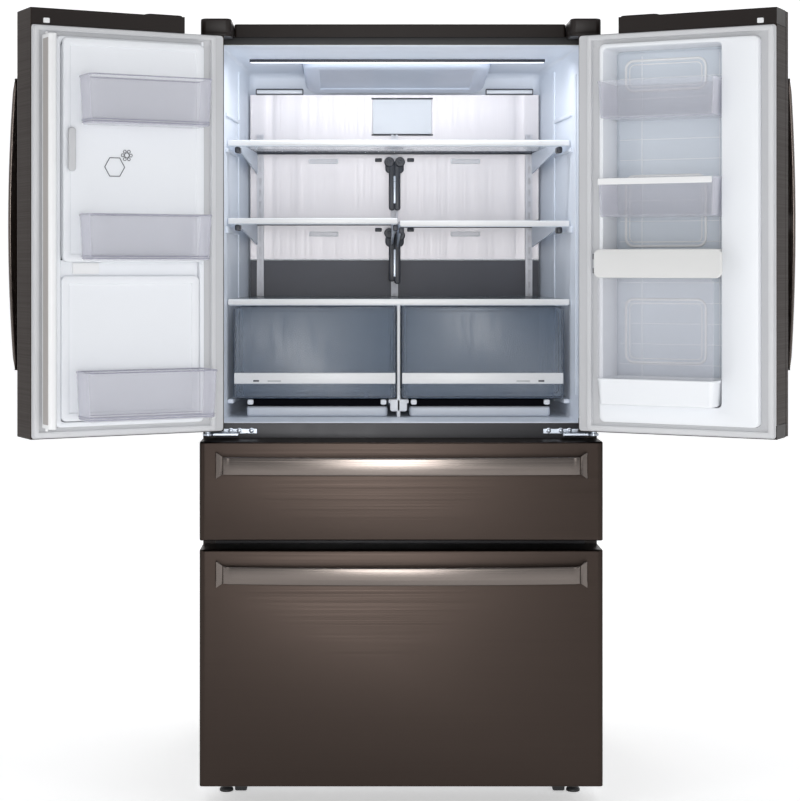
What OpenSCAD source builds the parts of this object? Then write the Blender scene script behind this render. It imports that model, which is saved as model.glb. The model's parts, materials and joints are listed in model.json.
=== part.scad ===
// French door refrigerator with two doors over two drawers, shown with its doors open.
// The case front is the plane y = -origin_y; the doors are drawn shut and turned open.

/* [Cabinet] */
// Width of the cabinet and of the drawer fronts
body_w = 908; // [860:1:960]
// Depth of the cabinet without doors
case_d = 746; // [720:1:800]
// Height of the top sheet above the floor
case_h = 1745; // [1735:1:1800]
// Height of the underside of the cabinet above the floor
base_z = 45; // [40:1:60]
// Thickness of the steel sheet
sheet = 2; // [1:0.5:3]
// Thickness of the insulated side walls at the front
side_wall = 40; // [36:1:60]
// Distance from the case front to the origin, towards the back
origin_y = 185; // [150:1:220]

/* [Compartments] */
// Thickness of the plastic liners
liner_t = 3; // [2:0.5:4]
// Floor level of the refrigerator opening
fridge_z0 = 858; // [850:1:880]
// Insulation above the refrigerator opening
fridge_top_wall = 21; // [20:1:40]
// Depth of the refrigerator compartment
fridge_d = 600; // [560:1:620]
// Narrowing of each side of the compartment towards the back
fridge_draft = 34; // [10:1:40]
// Floor level of the middle drawer compartment
drawer_z0 = 614; // [605:1:630]
// Ceiling level of the middle drawer compartment
drawer_z1 = 803; // [780:1:805]
// Floor level of the freezer compartment
freezer_z0 = 95; // [85:1:110]
// Ceiling level of the freezer compartment
freezer_z1 = 568; // [540:1:570]
// Depth of the middle drawer and upper freezer compartments
drawer_d = 640; // [600:1:660]
// Depth of the freezer in front of the machine room
freezer_low_d = 430; // [400:1:450]
// Height of the machine room ceiling
machine_h = 320; // [300:1:340]

/* [Doors] */
// Thickness of a door with its skin
door_t = 103; // [90:1:110]
// Gap between a door and the case front, filled by the seal
seal_gap = 8; // [6:1:10]
// Level of the bottom edge of the doors
door_z0 = 845; // [840:1:850]
// Level of the top edge of the doors
door_z1 = 1772; // [1765:1:1780]
// Gap between the two doors
door_gap = 4; // [3:1:8]
// Height of the dark top band above the inner panel
top_band = 36; // [32:1:40]
// Angle through which a door stands open
open_deg = 152; // [90:1:152]
// Distance of the hinge pin from the side of the door
pin_x = 16; // [14:1:20]
// Distance of the hinge pin in front of the case
pin_y = 60; // [56:1:66]
// Radius of the hinge pins
pin_r = 6; // [5:0.5:8]
// Radial clearance of a turning fit
fit = 0.05; // [0.02:0.01:0.1]
// Radius of the outer upright edges of the doors and drawers
edge_r = 14; // [10:1:16]
// Depth of the door bins in front of the case plane
bin_reach = 105; // [90:1:108]

/* [Drawers] */
// Level of the top of the middle drawer front
mid_front_z1 = 822; // [815:1:824]
// Level of the bottom of the middle drawer front
mid_front_z0 = 599; // [590:1:610]
// Level of the top of the freezer drawer front
low_front_z1 = 579; // [560:1:582]
// Level of the bottom of the freezer drawer front
low_front_z0 = 46; // [40:1:60]
// Height of the handle bars
bar_h = 40; // [30:1:45]
// Length of the drawer handles
bar_l = 830; // [700:1:850]
// Distance from a front to the outside of its handle
bar_reach = 66; // [50:1:70]

/* [Interior] */
// Distance from the case front to the shelf fronts
shelf_y = 118; // [112:1:140]
// Level of the top shelf
shelf_top_z = 1516; // [1480:1:1540]
// Level of the left middle shelf
shelf_left_z = 1331; // [1300:1:1360]
// Level of the right middle shelf
shelf_right_z = 1325; // [1300:1:1360]
// Level of the glass over the crispers
cover_z = 1139; // [1130:1:1160]
// Thickness of the glass
glass_t = 4; // [3:0.5:6]
// Height of the shelf trims
trim_h = 14; // [10:1:20]
// Level of the bottom of the crispers
crisper_z0 = 902; // [895:1:920]
// Radius of the rollers
roller_r = 18; // [15:1:19]

/* [Hidden] */
half_w = body_w / 2;
mouth_x = half_w - side_wall;
fridge_z1 = case_h - fridge_top_wall;
steel_dark = [0.26, 0.24, 0.22];
plastic_white = [0.93, 0.95, 0.97];
plastic_grey = [0.74, 0.75, 0.77];
black = [0.08, 0.08, 0.08];
zinc = [0.62, 0.65, 0.7];
clear_blue = [0.8, 0.88, 0.95, 0.4];

inner_x = half_w - sheet;
flange_x = half_w - 28;
step_z = machine_h + 30;
machine_y0 = freezer_low_d + liner_t + 30;
leg_x = 402;
leg_y = 30;
leg_r = 6;
leg_nut_h = 10;
toe_x = 330;
toe_y = 30;
toe_slots = 18;
roller_w = 14;
axle_r = 4;
front_roller_x = 362;
front_roller_y = 70;
rear_roller_x = 400;
rear_roller_y = case_d - 56;
fin_n = 14;
fin_pitch = 9;
fan_r = 58;

// Hinges and top covers
hinge_x = -half_w + pin_x;
hinge_cover_w = 70;
hinge_cover_z0 = door_z1 - top_band + 2;
hinge_cover_z1 = case_h + 33;
nose_y = -pin_y - 20;
nose_r = 14;
cover_t = 2.5;
top_cover_x = half_w - hinge_cover_w - 2;
top_cover_d = 110;
top_cover_z = case_h + 30;
arm_t = 4;
arm_r = 12;
plate_t = 4;
tongue_z = door_z0 - 13;
pin_len = 24;

// Interior
duct_y = fridge_d - 25;
duct_x = mouth_x - fridge_draft - 4;
duct_top_x = 238;
lamp_x = 360;
lamp_y = 276;
ladder_x = 350;
shelf_y1 = duct_y - 10;
side_gap = 3;
ledge_h = 10;
arm_gap = 0.3;
ledge_y0 = shelf_y + 14;
crisper_gap = 7;
crisper_x = 391;
crisper_y0 = shelf_y + 7;
crisper_y1 = shelf_y1 - 40;
crisper_z1 = cover_z - trim_h - 2;
tub_x = mouth_x - fridge_draft * crisper_y1 / fridge_d - 5;
ledge_x = tub_x - 14;

// Doors, drawn shut on the left of the middle
front_y = -(seal_gap + door_t);
back_y = -seal_gap;
door_x0 = -half_w;
door_x1 = -door_gap / 2;
cap_h = 30;
lid_t = 3;
pocket_w = 95;
seal_in = 22;
seal_w = 12;
seal_top = door_z1 - top_band - 2;
dyke_y = 12;
dyke_x0 = -half_w + 56;
dyke_x1 = door_x1 - 50;
dyke_z0 = fridge_z0 + 12;
dyke_z1 = fridge_z1 - 12;
ice_z0 = 1226;
ice_z1 = 1708;
ice_pin_y = dyke_y + 6;
ice_edge_r = 5.7;
ice_door_t = 12;
flap_r = 9;
flap_w = 62;
flap_x = door_x1 - 30;
flap_y = 10;
flap_z0 = fridge_z0 + 12;
flap_z1 = fridge_z1 - 12;
chute_x0 = -330;
chute_x1 = -130;
chute_z0 = 950;
chute_z1 = 1195;
panel_z1 = 1310;
split_y = front_y + 33;
split_gap = 2;
outer_pin_x = half_w - 8;
outer_pin_y = -front_y - 14;
outer_pin_r = 4;
outer_lug_w = 30;
outer_lug_t = 5;
outer_z0 = door_z0 + outer_lug_t + 1;
outer_z1 = door_z1 - top_band - outer_lug_t - 1;
case_x0 = dyke_x0 + 10;
case_x1 = dyke_x1 - 66;
basket_reach = 62;
door_bar_l = 640;
door_bar_sag = 40;
door_bar_x = door_x1 - bar_h / 2 - 3;
door_bar_z = (door_z0 + door_z1) / 2;
button_w = 20;
button_h = 30;
button_x0 = door_bar_x - button_w / 2;
button_z0 = 1300;
bar_t = 12;
bar_sag = 22;
bar_drop = 50;

// Drawers
bin_d = freezer_low_d - 10;
front_bin_x = mouth_x - 16;
rail_w = 11;
mid_rail_up = 60;
low_rail_up = 190;
tray_z0 = step_z + 52;

function liner_x(y) = mouth_x - fridge_draft * y / fridge_d;

function shelf_x(y) = liner_x(y) - side_gap;

module in_case() {
    translate([0, -origin_y, 0]) children();
}

module block(x0, x1, y0, y1, z0, z1) {
    translate([x0, y0, z0]) cube([x1 - x0, y1 - y0, z1 - z0]);
}

module tray(x0, x1, y0, y1, z0, z1, t) {
    difference() {
        block(x0, x1, y0, y1, z0, z1);
        block(x0 + t, x1 - t, y0 + t, y1 - t, z0 + t, z1 + 1);
    }
}

module both_sides() {
    children();
    mirror([1, 0, 0]) children();
}

// Round pins along z, y and x between two faces
module pin_up(x, y, z0, z1, r) {
    translate([x, y, z0]) cylinder(r = r, h = z1 - z0, $fn = 48);
}

module pin_back(x, y0, y1, z, r) {
    translate([x, y1, z]) rotate([90, 0, 0]) cylinder(r = r, h = y1 - y0, $fn = 48);
}

module pin_right(x0, x1, y, z, r) {
    translate([x0, y, z]) rotate([0, 90, 0]) cylinder(r = r, h = x1 - x0, $fn = 48);
}

// ---- Cabinet ----

module cabinet_shell() {
    color(steel_dark) in_case() difference() {
        block(-half_w, half_w, 0, case_d - sheet, base_z, case_h);
        block(-half_w + sheet, half_w - sheet, sheet, case_d, base_z - 1, case_h - sheet);
        block(-flange_x, flange_x, -1, sheet + 1, base_z - 1, fridge_z1 + liner_t);
    }
}

module back_panel() {
    color("silver") in_case() block(-half_w, half_w, case_d - sheet, case_d, machine_h, case_h);
}

module base_pan() {
    color("gray") in_case() difference() {
        union() {
            block(-inner_x, inner_x, sheet, case_d - sheet, base_z, base_z + sheet);
            both_sides() pin_up(leg_x, leg_y, base_z - leg_nut_h, base_z, 2 * leg_r);
        }
        both_sides() pin_up(leg_x, leg_y, base_z - leg_nut_h - 1, base_z + sheet + 1, leg_r + fit);
    }
}

// Plan of the refrigerator compartment, grown outwards by a wall
module fridge_plan(grow, front) {
    polygon([
        [-(mouth_x + grow), front], [mouth_x + grow, front],
        [liner_x(fridge_d) + grow, fridge_d + grow], [-(liner_x(fridge_d) + grow), fridge_d + grow],
    ]);
}

module fridge_outer() {
    translate([0, 0, fridge_z0 - liner_t])
        linear_extrude(fridge_z1 - fridge_z0 + 2 * liner_t) fridge_plan(liner_t, 0);
}

module fridge_liner() {
    color(plastic_white) in_case() difference() {
        union() {
            fridge_outer();
            block(-flange_x, flange_x, 0, sheet, fridge_z0 - liner_t, fridge_z1 + liner_t);
        }
        translate([0, 0, fridge_z0]) linear_extrude(fridge_z1 - fridge_z0) fridge_plan(0, -1);
    }
    // Ledges that carry the crispers
    color(plastic_white) in_case() both_sides() translate([0, 0, crisper_z0 - ledge_h - 1])
        linear_extrude(ledge_h) polygon([
            [liner_x(ledge_y0), ledge_y0], [ledge_x, ledge_y0],
            [ledge_x, crisper_y1], [liner_x(crisper_y1), crisper_y1],
        ]);
}

module drawer_outer() {
    block(-mouth_x - liner_t, mouth_x + liner_t, 0, drawer_d + liner_t, drawer_z0 - liner_t, drawer_z1 + liner_t);
}

module drawer_liner() {
    color(plastic_white) in_case() difference() {
        union() {
            drawer_outer();
            block(-flange_x, flange_x, 0, sheet, drawer_z0 - liner_t, drawer_z1 + liner_t);
        }
        block(-mouth_x, mouth_x, -1, drawer_d, drawer_z0, drawer_z1);
    }
}

module freezer_outer() {
    block(-mouth_x - liner_t, mouth_x + liner_t, 0, drawer_d + liner_t, step_z - liner_t, freezer_z1 + liner_t);
    block(-mouth_x - liner_t, mouth_x + liner_t, 0, freezer_low_d + liner_t,
        freezer_z0 - liner_t, freezer_z1 + liner_t);
}

module freezer_liner() {
    color(plastic_white) in_case() difference() {
        union() {
            freezer_outer();
            block(-flange_x, flange_x, 0, sheet, freezer_z0 - liner_t, freezer_z1 + liner_t);
        }
        block(-mouth_x, mouth_x, -1, drawer_d, step_z, freezer_z1);
        block(-mouth_x, mouth_x, -1, freezer_low_d, freezer_z0, freezer_z1);
    }
}

module cabinet_foam() {
    color("khaki") in_case() difference() {
        block(-inner_x, inner_x, sheet, case_d - sheet, base_z + sheet, case_h - sheet);
        fridge_outer();
        drawer_outer();
        freezer_outer();
        block(-half_w, half_w, machine_y0, case_d, base_z, machine_h);
    }
}

module front_rails() {
    color([0.2, 0.2, 0.21]) in_case() {
        block(-flange_x, flange_x, 0, sheet, drawer_z1 + liner_t, fridge_z0 - liner_t);
        block(-flange_x, flange_x, 0, sheet, freezer_z1 + liner_t, drawer_z0 - liner_t);
        block(-flange_x, flange_x, 0, sheet, base_z + sheet, freezer_z0 - liner_t);
    }
}

module top_cover() {
    color(steel_dark) in_case() difference() {
        block(-top_cover_x, top_cover_x, 0, top_cover_d, case_h, top_cover_z);
        block(-top_cover_x + cover_t, top_cover_x - cover_t, cover_t, top_cover_d - cover_t,
            case_h - 1, top_cover_z - cover_t);
    }
}

// Plan of a hinge cover: a strip with a rounded nose in front of the pin
module hinge_cover_plan(grow) {
    r = nose_r + grow;
    translate([-half_w - grow, nose_y + nose_r])
        square([hinge_cover_w + 2 * grow, top_cover_d - nose_y - nose_r + grow]);
    translate([-half_w + nose_r, nose_y - grow]) square([hinge_cover_w - 2 * nose_r, nose_r + grow + 1]);
    for (x = [nose_r, hinge_cover_w - nose_r]) translate([-half_w + x, nose_y + nose_r]) circle(r = r, $fn = 48);
}

module hinge_covers() {
    color(steel_dark) in_case() both_sides() difference() {
        translate([0, 0, hinge_cover_z0])
            linear_extrude(hinge_cover_z1 - hinge_cover_z0) hinge_cover_plan(0);
        translate([0, 0, hinge_cover_z0 - 1])
            linear_extrude(hinge_cover_z1 - hinge_cover_z0 - cover_t + 1) hinge_cover_plan(-cover_t);
        block(-half_w - 1, -half_w + hinge_cover_w + 1, 0, case_d, hinge_cover_z0 - 1, case_h);
    }
}

module door_hinges() {
    color(zinc) in_case() both_sides() {
        // Upper arm on the case top, with its pin pointing down into the door
        block(-half_w + 4, -half_w + 54, -pin_y, 90, case_h, case_h + arm_t);
        pin_up(hinge_x, -pin_y, case_h, case_h + arm_t, arm_r);
        pin_up(hinge_x, -pin_y, door_z1 - top_band - pin_len, case_h + arm_t, pin_r);
        for (y = [20, 50, 80]) pin_up(-half_w + 29, y, case_h + arm_t, case_h + arm_t + 5, 6);
        // Lower bracket on the rail under the doors, with its pin pointing up
        block(-half_w + 44, -half_w + 124, -plate_t, 0, tongue_z, door_z0 - 3);
        block(-half_w + 4, -half_w + 84, -pin_y, -plate_t, tongue_z, tongue_z + plate_t);
        pin_up(hinge_x, -pin_y, tongue_z, tongue_z + plate_t, arm_r);
        pin_up(hinge_x, -pin_y, tongue_z, door_z0 + pin_len, pin_r);
        for (x = [64, 84, 112]) pin_back(-half_w + x, -plate_t - 3, -plate_t, (tongue_z + door_z0) / 2 + 2, 3.5);
    }
}

module toe_grille() {
    color(black) in_case() difference() {
        block(-toe_x, toe_x, toe_y, toe_y + 8, roller_r, base_z);
        for (i = [-toe_slots / 2 + 0.5 : toe_slots / 2 - 0.5])
            translate([i * 2 * toe_x / (toe_slots + 1), toe_y + 4, base_z - 14])
                cube([26, 20, 10], center = true);
    }
}

module levelling_legs() {
    color("dimgray") in_case() both_sides() {
        pin_up(leg_x, leg_y, 0, 10, 16);
        pin_up(leg_x, leg_y, 10, base_z + sheet - 0.5, leg_r);
    }
}

module roller_cheeks(x, y) {
    for (s = [-1, 1]) translate([x + s * (roller_w / 2 + 3), y, (base_z + 8) / 2])
        cube([3, 30, base_z - 8], center = true);
}

module roller_brackets() {
    color(zinc) in_case() both_sides() {
        roller_cheeks(front_roller_x, front_roller_y);
        pin_right(front_roller_x - roller_w / 2 - 4.5, front_roller_x + roller_w / 2 + 4.5,
            front_roller_y, roller_r, axle_r);
        difference() {
            roller_cheeks(rear_roller_x, rear_roller_y);
            pin_right(rear_roller_x - roller_w, rear_roller_x + roller_w, rear_roller_y, roller_r, axle_r + fit);
        }
    }
}

module roller(x) {
    color(black) in_case() difference() {
        pin_right(x - roller_w / 2, x + roller_w / 2, front_roller_y, roller_r, roller_r);
        pin_right(x - roller_w, x + roller_w, front_roller_y, roller_r, axle_r + fit);
    }
}

module front_left_roller() {
    roller(-front_roller_x);
}

module front_right_roller() {
    roller(front_roller_x);
}

module rear_rollers() {
    color(black) in_case() {
        both_sides() pin_right(rear_roller_x - roller_w / 2, rear_roller_x + roller_w / 2,
            rear_roller_y, roller_r, roller_r);
        pin_right(-rear_roller_x - roller_w / 2 - 6, rear_roller_x + roller_w / 2 + 6,
            rear_roller_y, roller_r, axle_r);
    }
}

// ---- Machine room ----

module compressor() {
    color([0.12, 0.12, 0.13]) in_case() translate([-280, 610, base_z + sheet]) {
        translate([0, 0, 14]) rotate_extrude($fn = 64) polygon([
            [0, 0], [78, 0], [84, 12], [84, 92], [70, 128], [40, 142], [0, 146],
        ]);
        for (a = [45 : 90 : 315]) rotate(a) translate([92, 0, 0]) cylinder(r = 11, h = 14, $fn = 48);
        translate([-84, -84, 12]) cube([168, 168, 3]);
    }
    // Discharge line to the condenser
    color("peru") in_case() {
        pin_up(-250, 640, 190, 232, 4);
        pin_right(-254, 64, 640, 232, 4);
        pin_up(60, 640, 180, 232, 4);
    }
}

module condenser() {
    color("black") in_case() {
        for (i = [0 : fin_n - 1]) block(60 + i * fin_pitch, 60 + i * fin_pitch + 1, 560, 690, base_z + 25, 180);
        for (z = [90, 130, 165], y = [590, 625, 660])
            pin_right(52, 60 + fin_n * fin_pitch, y, z, 4);
        tray(50, 70 + fin_n * fin_pitch, 550, 700, base_z + sheet, base_z + 24, 2);
    }
    // Ring that carries the fan motor
    color("dimgray") in_case() {
        difference() {
            pin_right(-90, -60, 625, 150, fan_r + 12);
            pin_right(-91, -59, 625, 150, fan_r + 5);
        }
        block(-90, -84, 620, 630, base_z + sheet, 150 - fan_r - 6);
        pin_right(-90, -70, 625, 150, 20);
        block(-90, -86, 560, 690, 147, 153);
        pin_right(-70, -42, 625, 150, 4);
    }
}

// Five flat blades on a hub, turning about x
module fan_blades(r) {
    difference() {
        union() {
            pin_right(0, 16, 0, 0, 16);
            for (a = [0 : 72 : 288]) rotate([a, 0, 0]) translate([8, 0, (r + 10) / 2])
                rotate([0, 0, 30]) cube([2, 26, r - 10], center = true);
        }
        pin_right(-1, 17, 0, 0, 4 + fit);
    }
}

module condenser_fan() {
    color("dimgray") in_case() translate([-60, 625, 150]) fan_blades(fan_r);
}

module machine_cover() {
    color("gray") in_case() difference() {
        block(-half_w, half_w, case_d - sheet, case_d, base_z, machine_h);
        for (x = [-380 : 40 : 380], z = [90 : 50 : 270])
            block(x - 14, x + 14, case_d - 5, case_d + 1, z - 5, z + 5);
    }
}

module evaporator() {
    color("silver") in_case() {
        for (i = [0 : 23]) block(-276 + i * 24, -275 + i * 24, 596, 636, 360, 440);
        for (z = [375, 400, 425], y = [606, 626]) pin_right(-284, 284, y, z, 4);
    }
    // Fan motor behind its opening
    color("dimgray") in_case() {
        pin_back(0, 620, 639, 505, 18);
        pin_back(0, 596, 620, 505, 4);
    }
}

module evaporator_fan() {
    color("dimgray") in_case() translate([0, 616, 505]) rotate([0, 0, -90]) fan_blades(48);
}

module freezer_duct_panel() {
    color(plastic_white) in_case() difference() {
        block(-mouth_x + 1, mouth_x - 1, 586, 590, step_z + 1, freezer_z1 - 1);
        pin_back(0, 580, 600, 505, 54);
        for (x = [-300 : 60 : -120]) block(x, x + 40, 580, 600, 535, 547);
        for (x = [120 : 60 : 300]) block(x - 40, x, 580, 600, 535, 547);
    }
}

// ---- Refrigerator interior ----

module back_duct_panel() {
    color([0.75, 0.77, 0.79]) in_case() difference() {
        block(-duct_x, duct_x, duct_y, fridge_d, fridge_z0 + 40, fridge_z1 - 60);
        block(-duct_x + 4, duct_x - 4, duct_y + 4, fridge_d + 1, fridge_z0 + 44, fridge_z1 - 64);
        for (s = [-1, 1], z = [1160, 1300, 1490]) block(
            s * 200 - 40, s * 200 + 40, duct_y - 1, duct_y + 5, z, z + 12);
    }
}

module ceiling_duct() {
    color(plastic_white) in_case() {
        // Sloping duct and lamp housing under the ceiling
        translate([-duct_top_x, 0, 0]) rotate([90, 0, 90]) linear_extrude(2 * duct_top_x) polygon([
            [lamp_y + 24, fridge_z1], [lamp_y + 24, fridge_z1 - 14],
            [duct_y - 1, fridge_z1 - 58], [duct_y - 1, fridge_z1],
        ]);
        block(-lamp_x, lamp_x, lamp_y, lamp_y + 16, fridge_z1 - 8, fridge_z1);
    }
}

// Slotted uprights for the shelves
module shelf_ladders() {
    color(zinc) in_case() for (x = [-ladder_x, 0, ladder_x]) difference() {
        block(x - 9, x + 9, duct_y - 10, duct_y, 1050, 1560);
        for (z = [1070 : 30 : 1550]) block(x - 3, x + 3, duct_y - 11, duct_y - 4, z, z + 16);
    }
}

// Plan between two depths: a side is 1 at the liner wall and a distance from the middle elsewhere
module shelf_plan(left, right, y0, y1) {
    function edge(side, y) = side == 1 ? shelf_x(y) : side;
    polygon([[-edge(left, y0), y0], [edge(right, y0), y0], [edge(right, y1), y1], [-edge(left, y1), y1]]);
}

// Front trim, back rail and two sloping arms
module shelf_frame(left, right, z, arms) {
    translate([0, 0, z - trim_h]) linear_extrude(trim_h) shelf_plan(left, right, shelf_y, shelf_y + 10);
    translate([0, 0, z - trim_h]) linear_extrude(trim_h) shelf_plan(left, right, shelf_y1 - 8, shelf_y1);
    y0 = shelf_y + 10 + arm_gap;
    y1 = shelf_y1 - 8 - arm_gap;
    for (x = arms) translate([x - 2, 0, 0]) rotate([90, 0, 90]) linear_extrude(4) polygon([
        [y0, z - glass_t], [y0, z - trim_h], [y1, z - 60], [y1, z - glass_t],
    ]);
}

module shelf_frames() {
    color("white") in_case() {
        shelf_frame(1, 1, shelf_top_z, [-ladder_x, ladder_x]);
        shelf_frame(1, -3, shelf_left_z, [-ladder_x, -6]);
        shelf_frame(-3, 1, shelf_right_z, [6, ladder_x]);
        shelf_frame(1, 1, cover_z, []);
        // Divider between the crispers, with a ledge on each side
        block(-4, 4, shelf_y + 12, crisper_y1, fridge_z0, cover_z - trim_h);
        block(-crisper_gap - 18, crisper_gap + 18, ledge_y0, crisper_y1,
            crisper_z0 - ledge_h - 1, crisper_z0 - 1);
    }
}

module pane(left, right, z) {
    translate([0, 0, z - glass_t]) linear_extrude(glass_t)
        shelf_plan(left, right, shelf_y + 10, shelf_y1 - 8);
}

module shelf_glass() {
    color(clear_blue) in_case() {
        pane(1, 1, shelf_top_z);
        pane(1, -3, shelf_left_z);
        pane(-3, 1, shelf_right_z);
        pane(1, 1, cover_z);
    }
}

module crisper_left() {
    color(clear_blue) in_case() {
        tray(-tub_x, -crisper_gap - 3, crisper_y0 + 3, crisper_y1 - 6, crisper_z0, crisper_z1, 3);
        block(-crisper_x, -crisper_gap, crisper_y0, crisper_y0 + 3, crisper_z0 + 2, crisper_z1);
        // Full-width pull along the front
        block(-crisper_x + 6, -crisper_gap - 6, crisper_y0 - 4, crisper_y0, crisper_z0 + 36, crisper_z0 + 62);
    }
}

module crisper_right() {
    mirror([1, 0, 0]) crisper_left();
}

// ---- Drawer slides on the cabinet ----

module slide_pair(z) {
    both_sides() block(mouth_x - rail_w, mouth_x, 20, bin_d, z, z + 24);
}

module drawer_slides() {
    color(zinc) in_case() {
        slide_pair(drawer_z0 + mid_rail_up);
        slide_pair(freezer_z0 + low_rail_up);
    }
}

// ---- Doors ----

// Turns what is drawn shut on the left to its open place
module open_left() {
    in_case() translate([hinge_x, -pin_y, 0]) rotate([0, 0, -open_deg]) translate([-hinge_x, pin_y, 0]) children();
}

module open_right() {
    mirror([1, 0, 0]) open_left() children();
}

// Plan of a front panel with rounded outer edges, grown outwards; its back stays open or flush
module panel_plan(x0, x1, y0, y1, grow, back) {
    r = edge_r + grow;
    translate([x0 - grow, y0 + edge_r]) square([x1 - x0 + 2 * grow, y1 - y0 - edge_r + back]);
    translate([x0 + edge_r, y0 - grow]) square([x1 - x0 - 2 * edge_r, edge_r + grow + 1]);
    for (x = [x0 + edge_r, x1 - edge_r]) translate([x, y0 + edge_r]) circle(r = r, $fn = 48);
}

module panel(x0, x1, y0, y1, z0, z1, grow = 0, back = 0) {
    translate([0, 0, z0]) linear_extrude(z1 - z0) panel_plan(x0, x1, y0, y1, grow, back);
}

module panel_skin(x0, x1, y0, y1, z0, z1) {
    difference() {
        panel(x0, x1, y0, y1, z0, z1);
        panel(x0, x1, y0, y1, z0 - 1, z1 + 1, -sheet, 1);
    }
}

module hinge_pocket(z0) {
    block(door_x0 - 1, door_x0 + pocket_w, front_y - 1, 1, z0, door_z1 + 1);
}

module dispenser_cut(z1, depth) {
    block(chute_x0, chute_x1, front_y - 1, front_y + depth, chute_z0, z1);
}

module left_door_skin() {
    color(steel_dark) open_left() difference() {
        panel_skin(door_x0, door_x1, front_y, back_y, door_z0 + lid_t, door_z1 - lid_t);
        hinge_pocket(door_z1 - top_band);
        dispenser_cut(panel_z1, sheet + 1);
    }
}

// End caps of a door between two depths; the bottom one and the pocket floor carry the hinge bores
module door_caps(y0) {
    difference() {
        union() {
            panel(door_x0, door_x1, y0, back_y, door_z1 - top_band, door_z1 - lid_t, -sheet);
            panel(door_x0, door_x1, y0, back_y, door_z1 - lid_t, door_z1);
        }
        hinge_pocket(door_z1 - top_band);
    }
    difference() {
        union() {
            panel(door_x0, door_x1, y0, back_y, door_z0 + lid_t, door_z0 + cap_h, -sheet);
            panel(door_x0, door_x1, y0, back_y, door_z0, door_z0 + lid_t);
            translate([hinge_x - 13, -pin_y - 14, door_z1 - top_band - cap_h]) cube([32, 28, cap_h]);
        }
        pin_up(hinge_x, -pin_y, door_z0 - 1, door_z1, pin_r + fit);
    }
}

module left_door_caps() {
    color(steel_dark) open_left() door_caps(front_y);
}

module door_core(y0) {
    difference() {
        panel(door_x0, door_x1, y0, back_y, door_z0 + cap_h, door_z1 - top_band, -sheet);
        translate([hinge_x - 13.1, -pin_y - 14.1, door_z1 - top_band - cap_h - 1]) cube([32.2, 28.2, cap_h + 2]);
    }
}

module hinge_lug(x, y, z, bore) {
    difference() {
        block(x - 7, x + 7, back_y, y + 7, z, z + 8);
        pin_up(x, y, z - 1, z + 9, bore);
    }
}

module left_door_liner() {
    color(plastic_white) open_left() {
        difference() {
            union() {
                door_core(front_y);
                block(dyke_x0, dyke_x1, back_y, dyke_y, dyke_z0, dyke_z1);
            }
            block(dyke_x0 + 12, dyke_x1 - 22, front_y + 18, dyke_y + 1, ice_z0 + 10, ice_z1 - 10);
            dispenser_cut(chute_z1, 70);
            dispenser_cut(panel_z1, sheet + 1);
        }
        for (z = [ice_z0 - 8.3, ice_z1 + 0.3]) hinge_lug(dyke_x0 + 8, ice_pin_y, z, 3 + fit);
        for (z = [flap_z0 - 8.3, flap_z1 + 0.3]) hinge_lug(flap_x, flap_y, z, 3 + fit);
    }
}

module seal_ring() {
    difference() {
        block(door_x0 + seal_in, door_x1 - 6, back_y, -0.4, door_z0 + 4, seal_top);
        block(door_x0 + seal_in + seal_w, door_x1 - 6 - seal_w, back_y - 1, 0, door_z0 + 4 + seal_w, seal_top - seal_w);
    }
}

module left_door_gasket() {
    color("gainsboro") open_left() seal_ring();
}

// Bowed bar along x that stands in front of the plane y = 0
module bow_bar(l, sag) {
    bow_r = (l * l / 4 + sag * sag) / (2 * sag);
    half_a = asin(l / 2 / bow_r);
    translate([0, bow_r - bar_reach, 0]) rotate(-90 - half_a)
        rotate_extrude(angle = 2 * half_a, $fn = 180) translate([bow_r - bar_t, -bar_h / 2]) square([bar_t, bar_h]);
    for (s = [-1, 1]) translate([s * (l / 2 - 18) - 12, -bar_reach + sag + 4, -bar_h / 2 + 4])
        cube([24, bar_reach - sag - 4, bar_h - 8]);
}

module door_bar() {
    translate([door_bar_x, front_y, door_bar_z]) rotate([0, 90, 0]) bow_bar(door_bar_l, door_bar_sag);
}

module left_door_handle() {
    color(steel_dark) open_left() door_bar();
}

module bin(x0, x1, y0, z0, z1) {
    tray(x0, x1, y0, bin_reach, z0, z1, 2.5);
}

module left_lower_bin() {
    color(clear_blue) open_left() bin(dyke_x0 + 4, dyke_x1 - 40, dyke_y, 885, 991);
}

module ice_maker() {
    color("white") open_left() {
        tray(dyke_x0 + 20, dyke_x1 - 36, front_y + 22, -10, ice_z0 + 14, ice_z0 + 230, 3);
        difference() {
            block(dyke_x0 + 30, dyke_x1 - 60, front_y + 24, -20, ice_z1 - 110, ice_z1 - 20);
            block(dyke_x0 + 36, dyke_x1 - 66, front_y + 30, -26, ice_z1 - 60, ice_z1 - 19);
        }
        block(dyke_x0 + 30, dyke_x0 + 60, front_y + 18, front_y + 24, ice_z1 - 110, ice_z1 - 20);
    }
}

module ice_door() {
    color(plastic_white) open_left() {
        block(dyke_x0 + 8, dyke_x1 - 12, dyke_y + 0.3, dyke_y + ice_door_t, ice_z0, ice_z1);
        pin_up(dyke_x0 + 8, ice_pin_y, ice_z0, ice_z1, ice_edge_r);
        pin_up(dyke_x0 + 8, ice_pin_y, ice_z0 - 7, ice_z1 + 7, 3);
    }
}

module ice_door_bins() {
    color(clear_blue) open_left() {
        bin(dyke_x0 + 16, dyke_x1 - 44, dyke_y + ice_door_t, ice_z0 + 3, 1329);
        bin(dyke_x0 + 16, dyke_x1 - 44, dyke_y + ice_door_t, 1521, 1626);
    }
}

module ice_latch() {
    color(plastic_grey) open_left() {
        block(dyke_x1 - 38, dyke_x1 - 20, dyke_y + ice_door_t + 0.3, dyke_y + ice_door_t + 12, 1420, 1515);
    }
}

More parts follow.
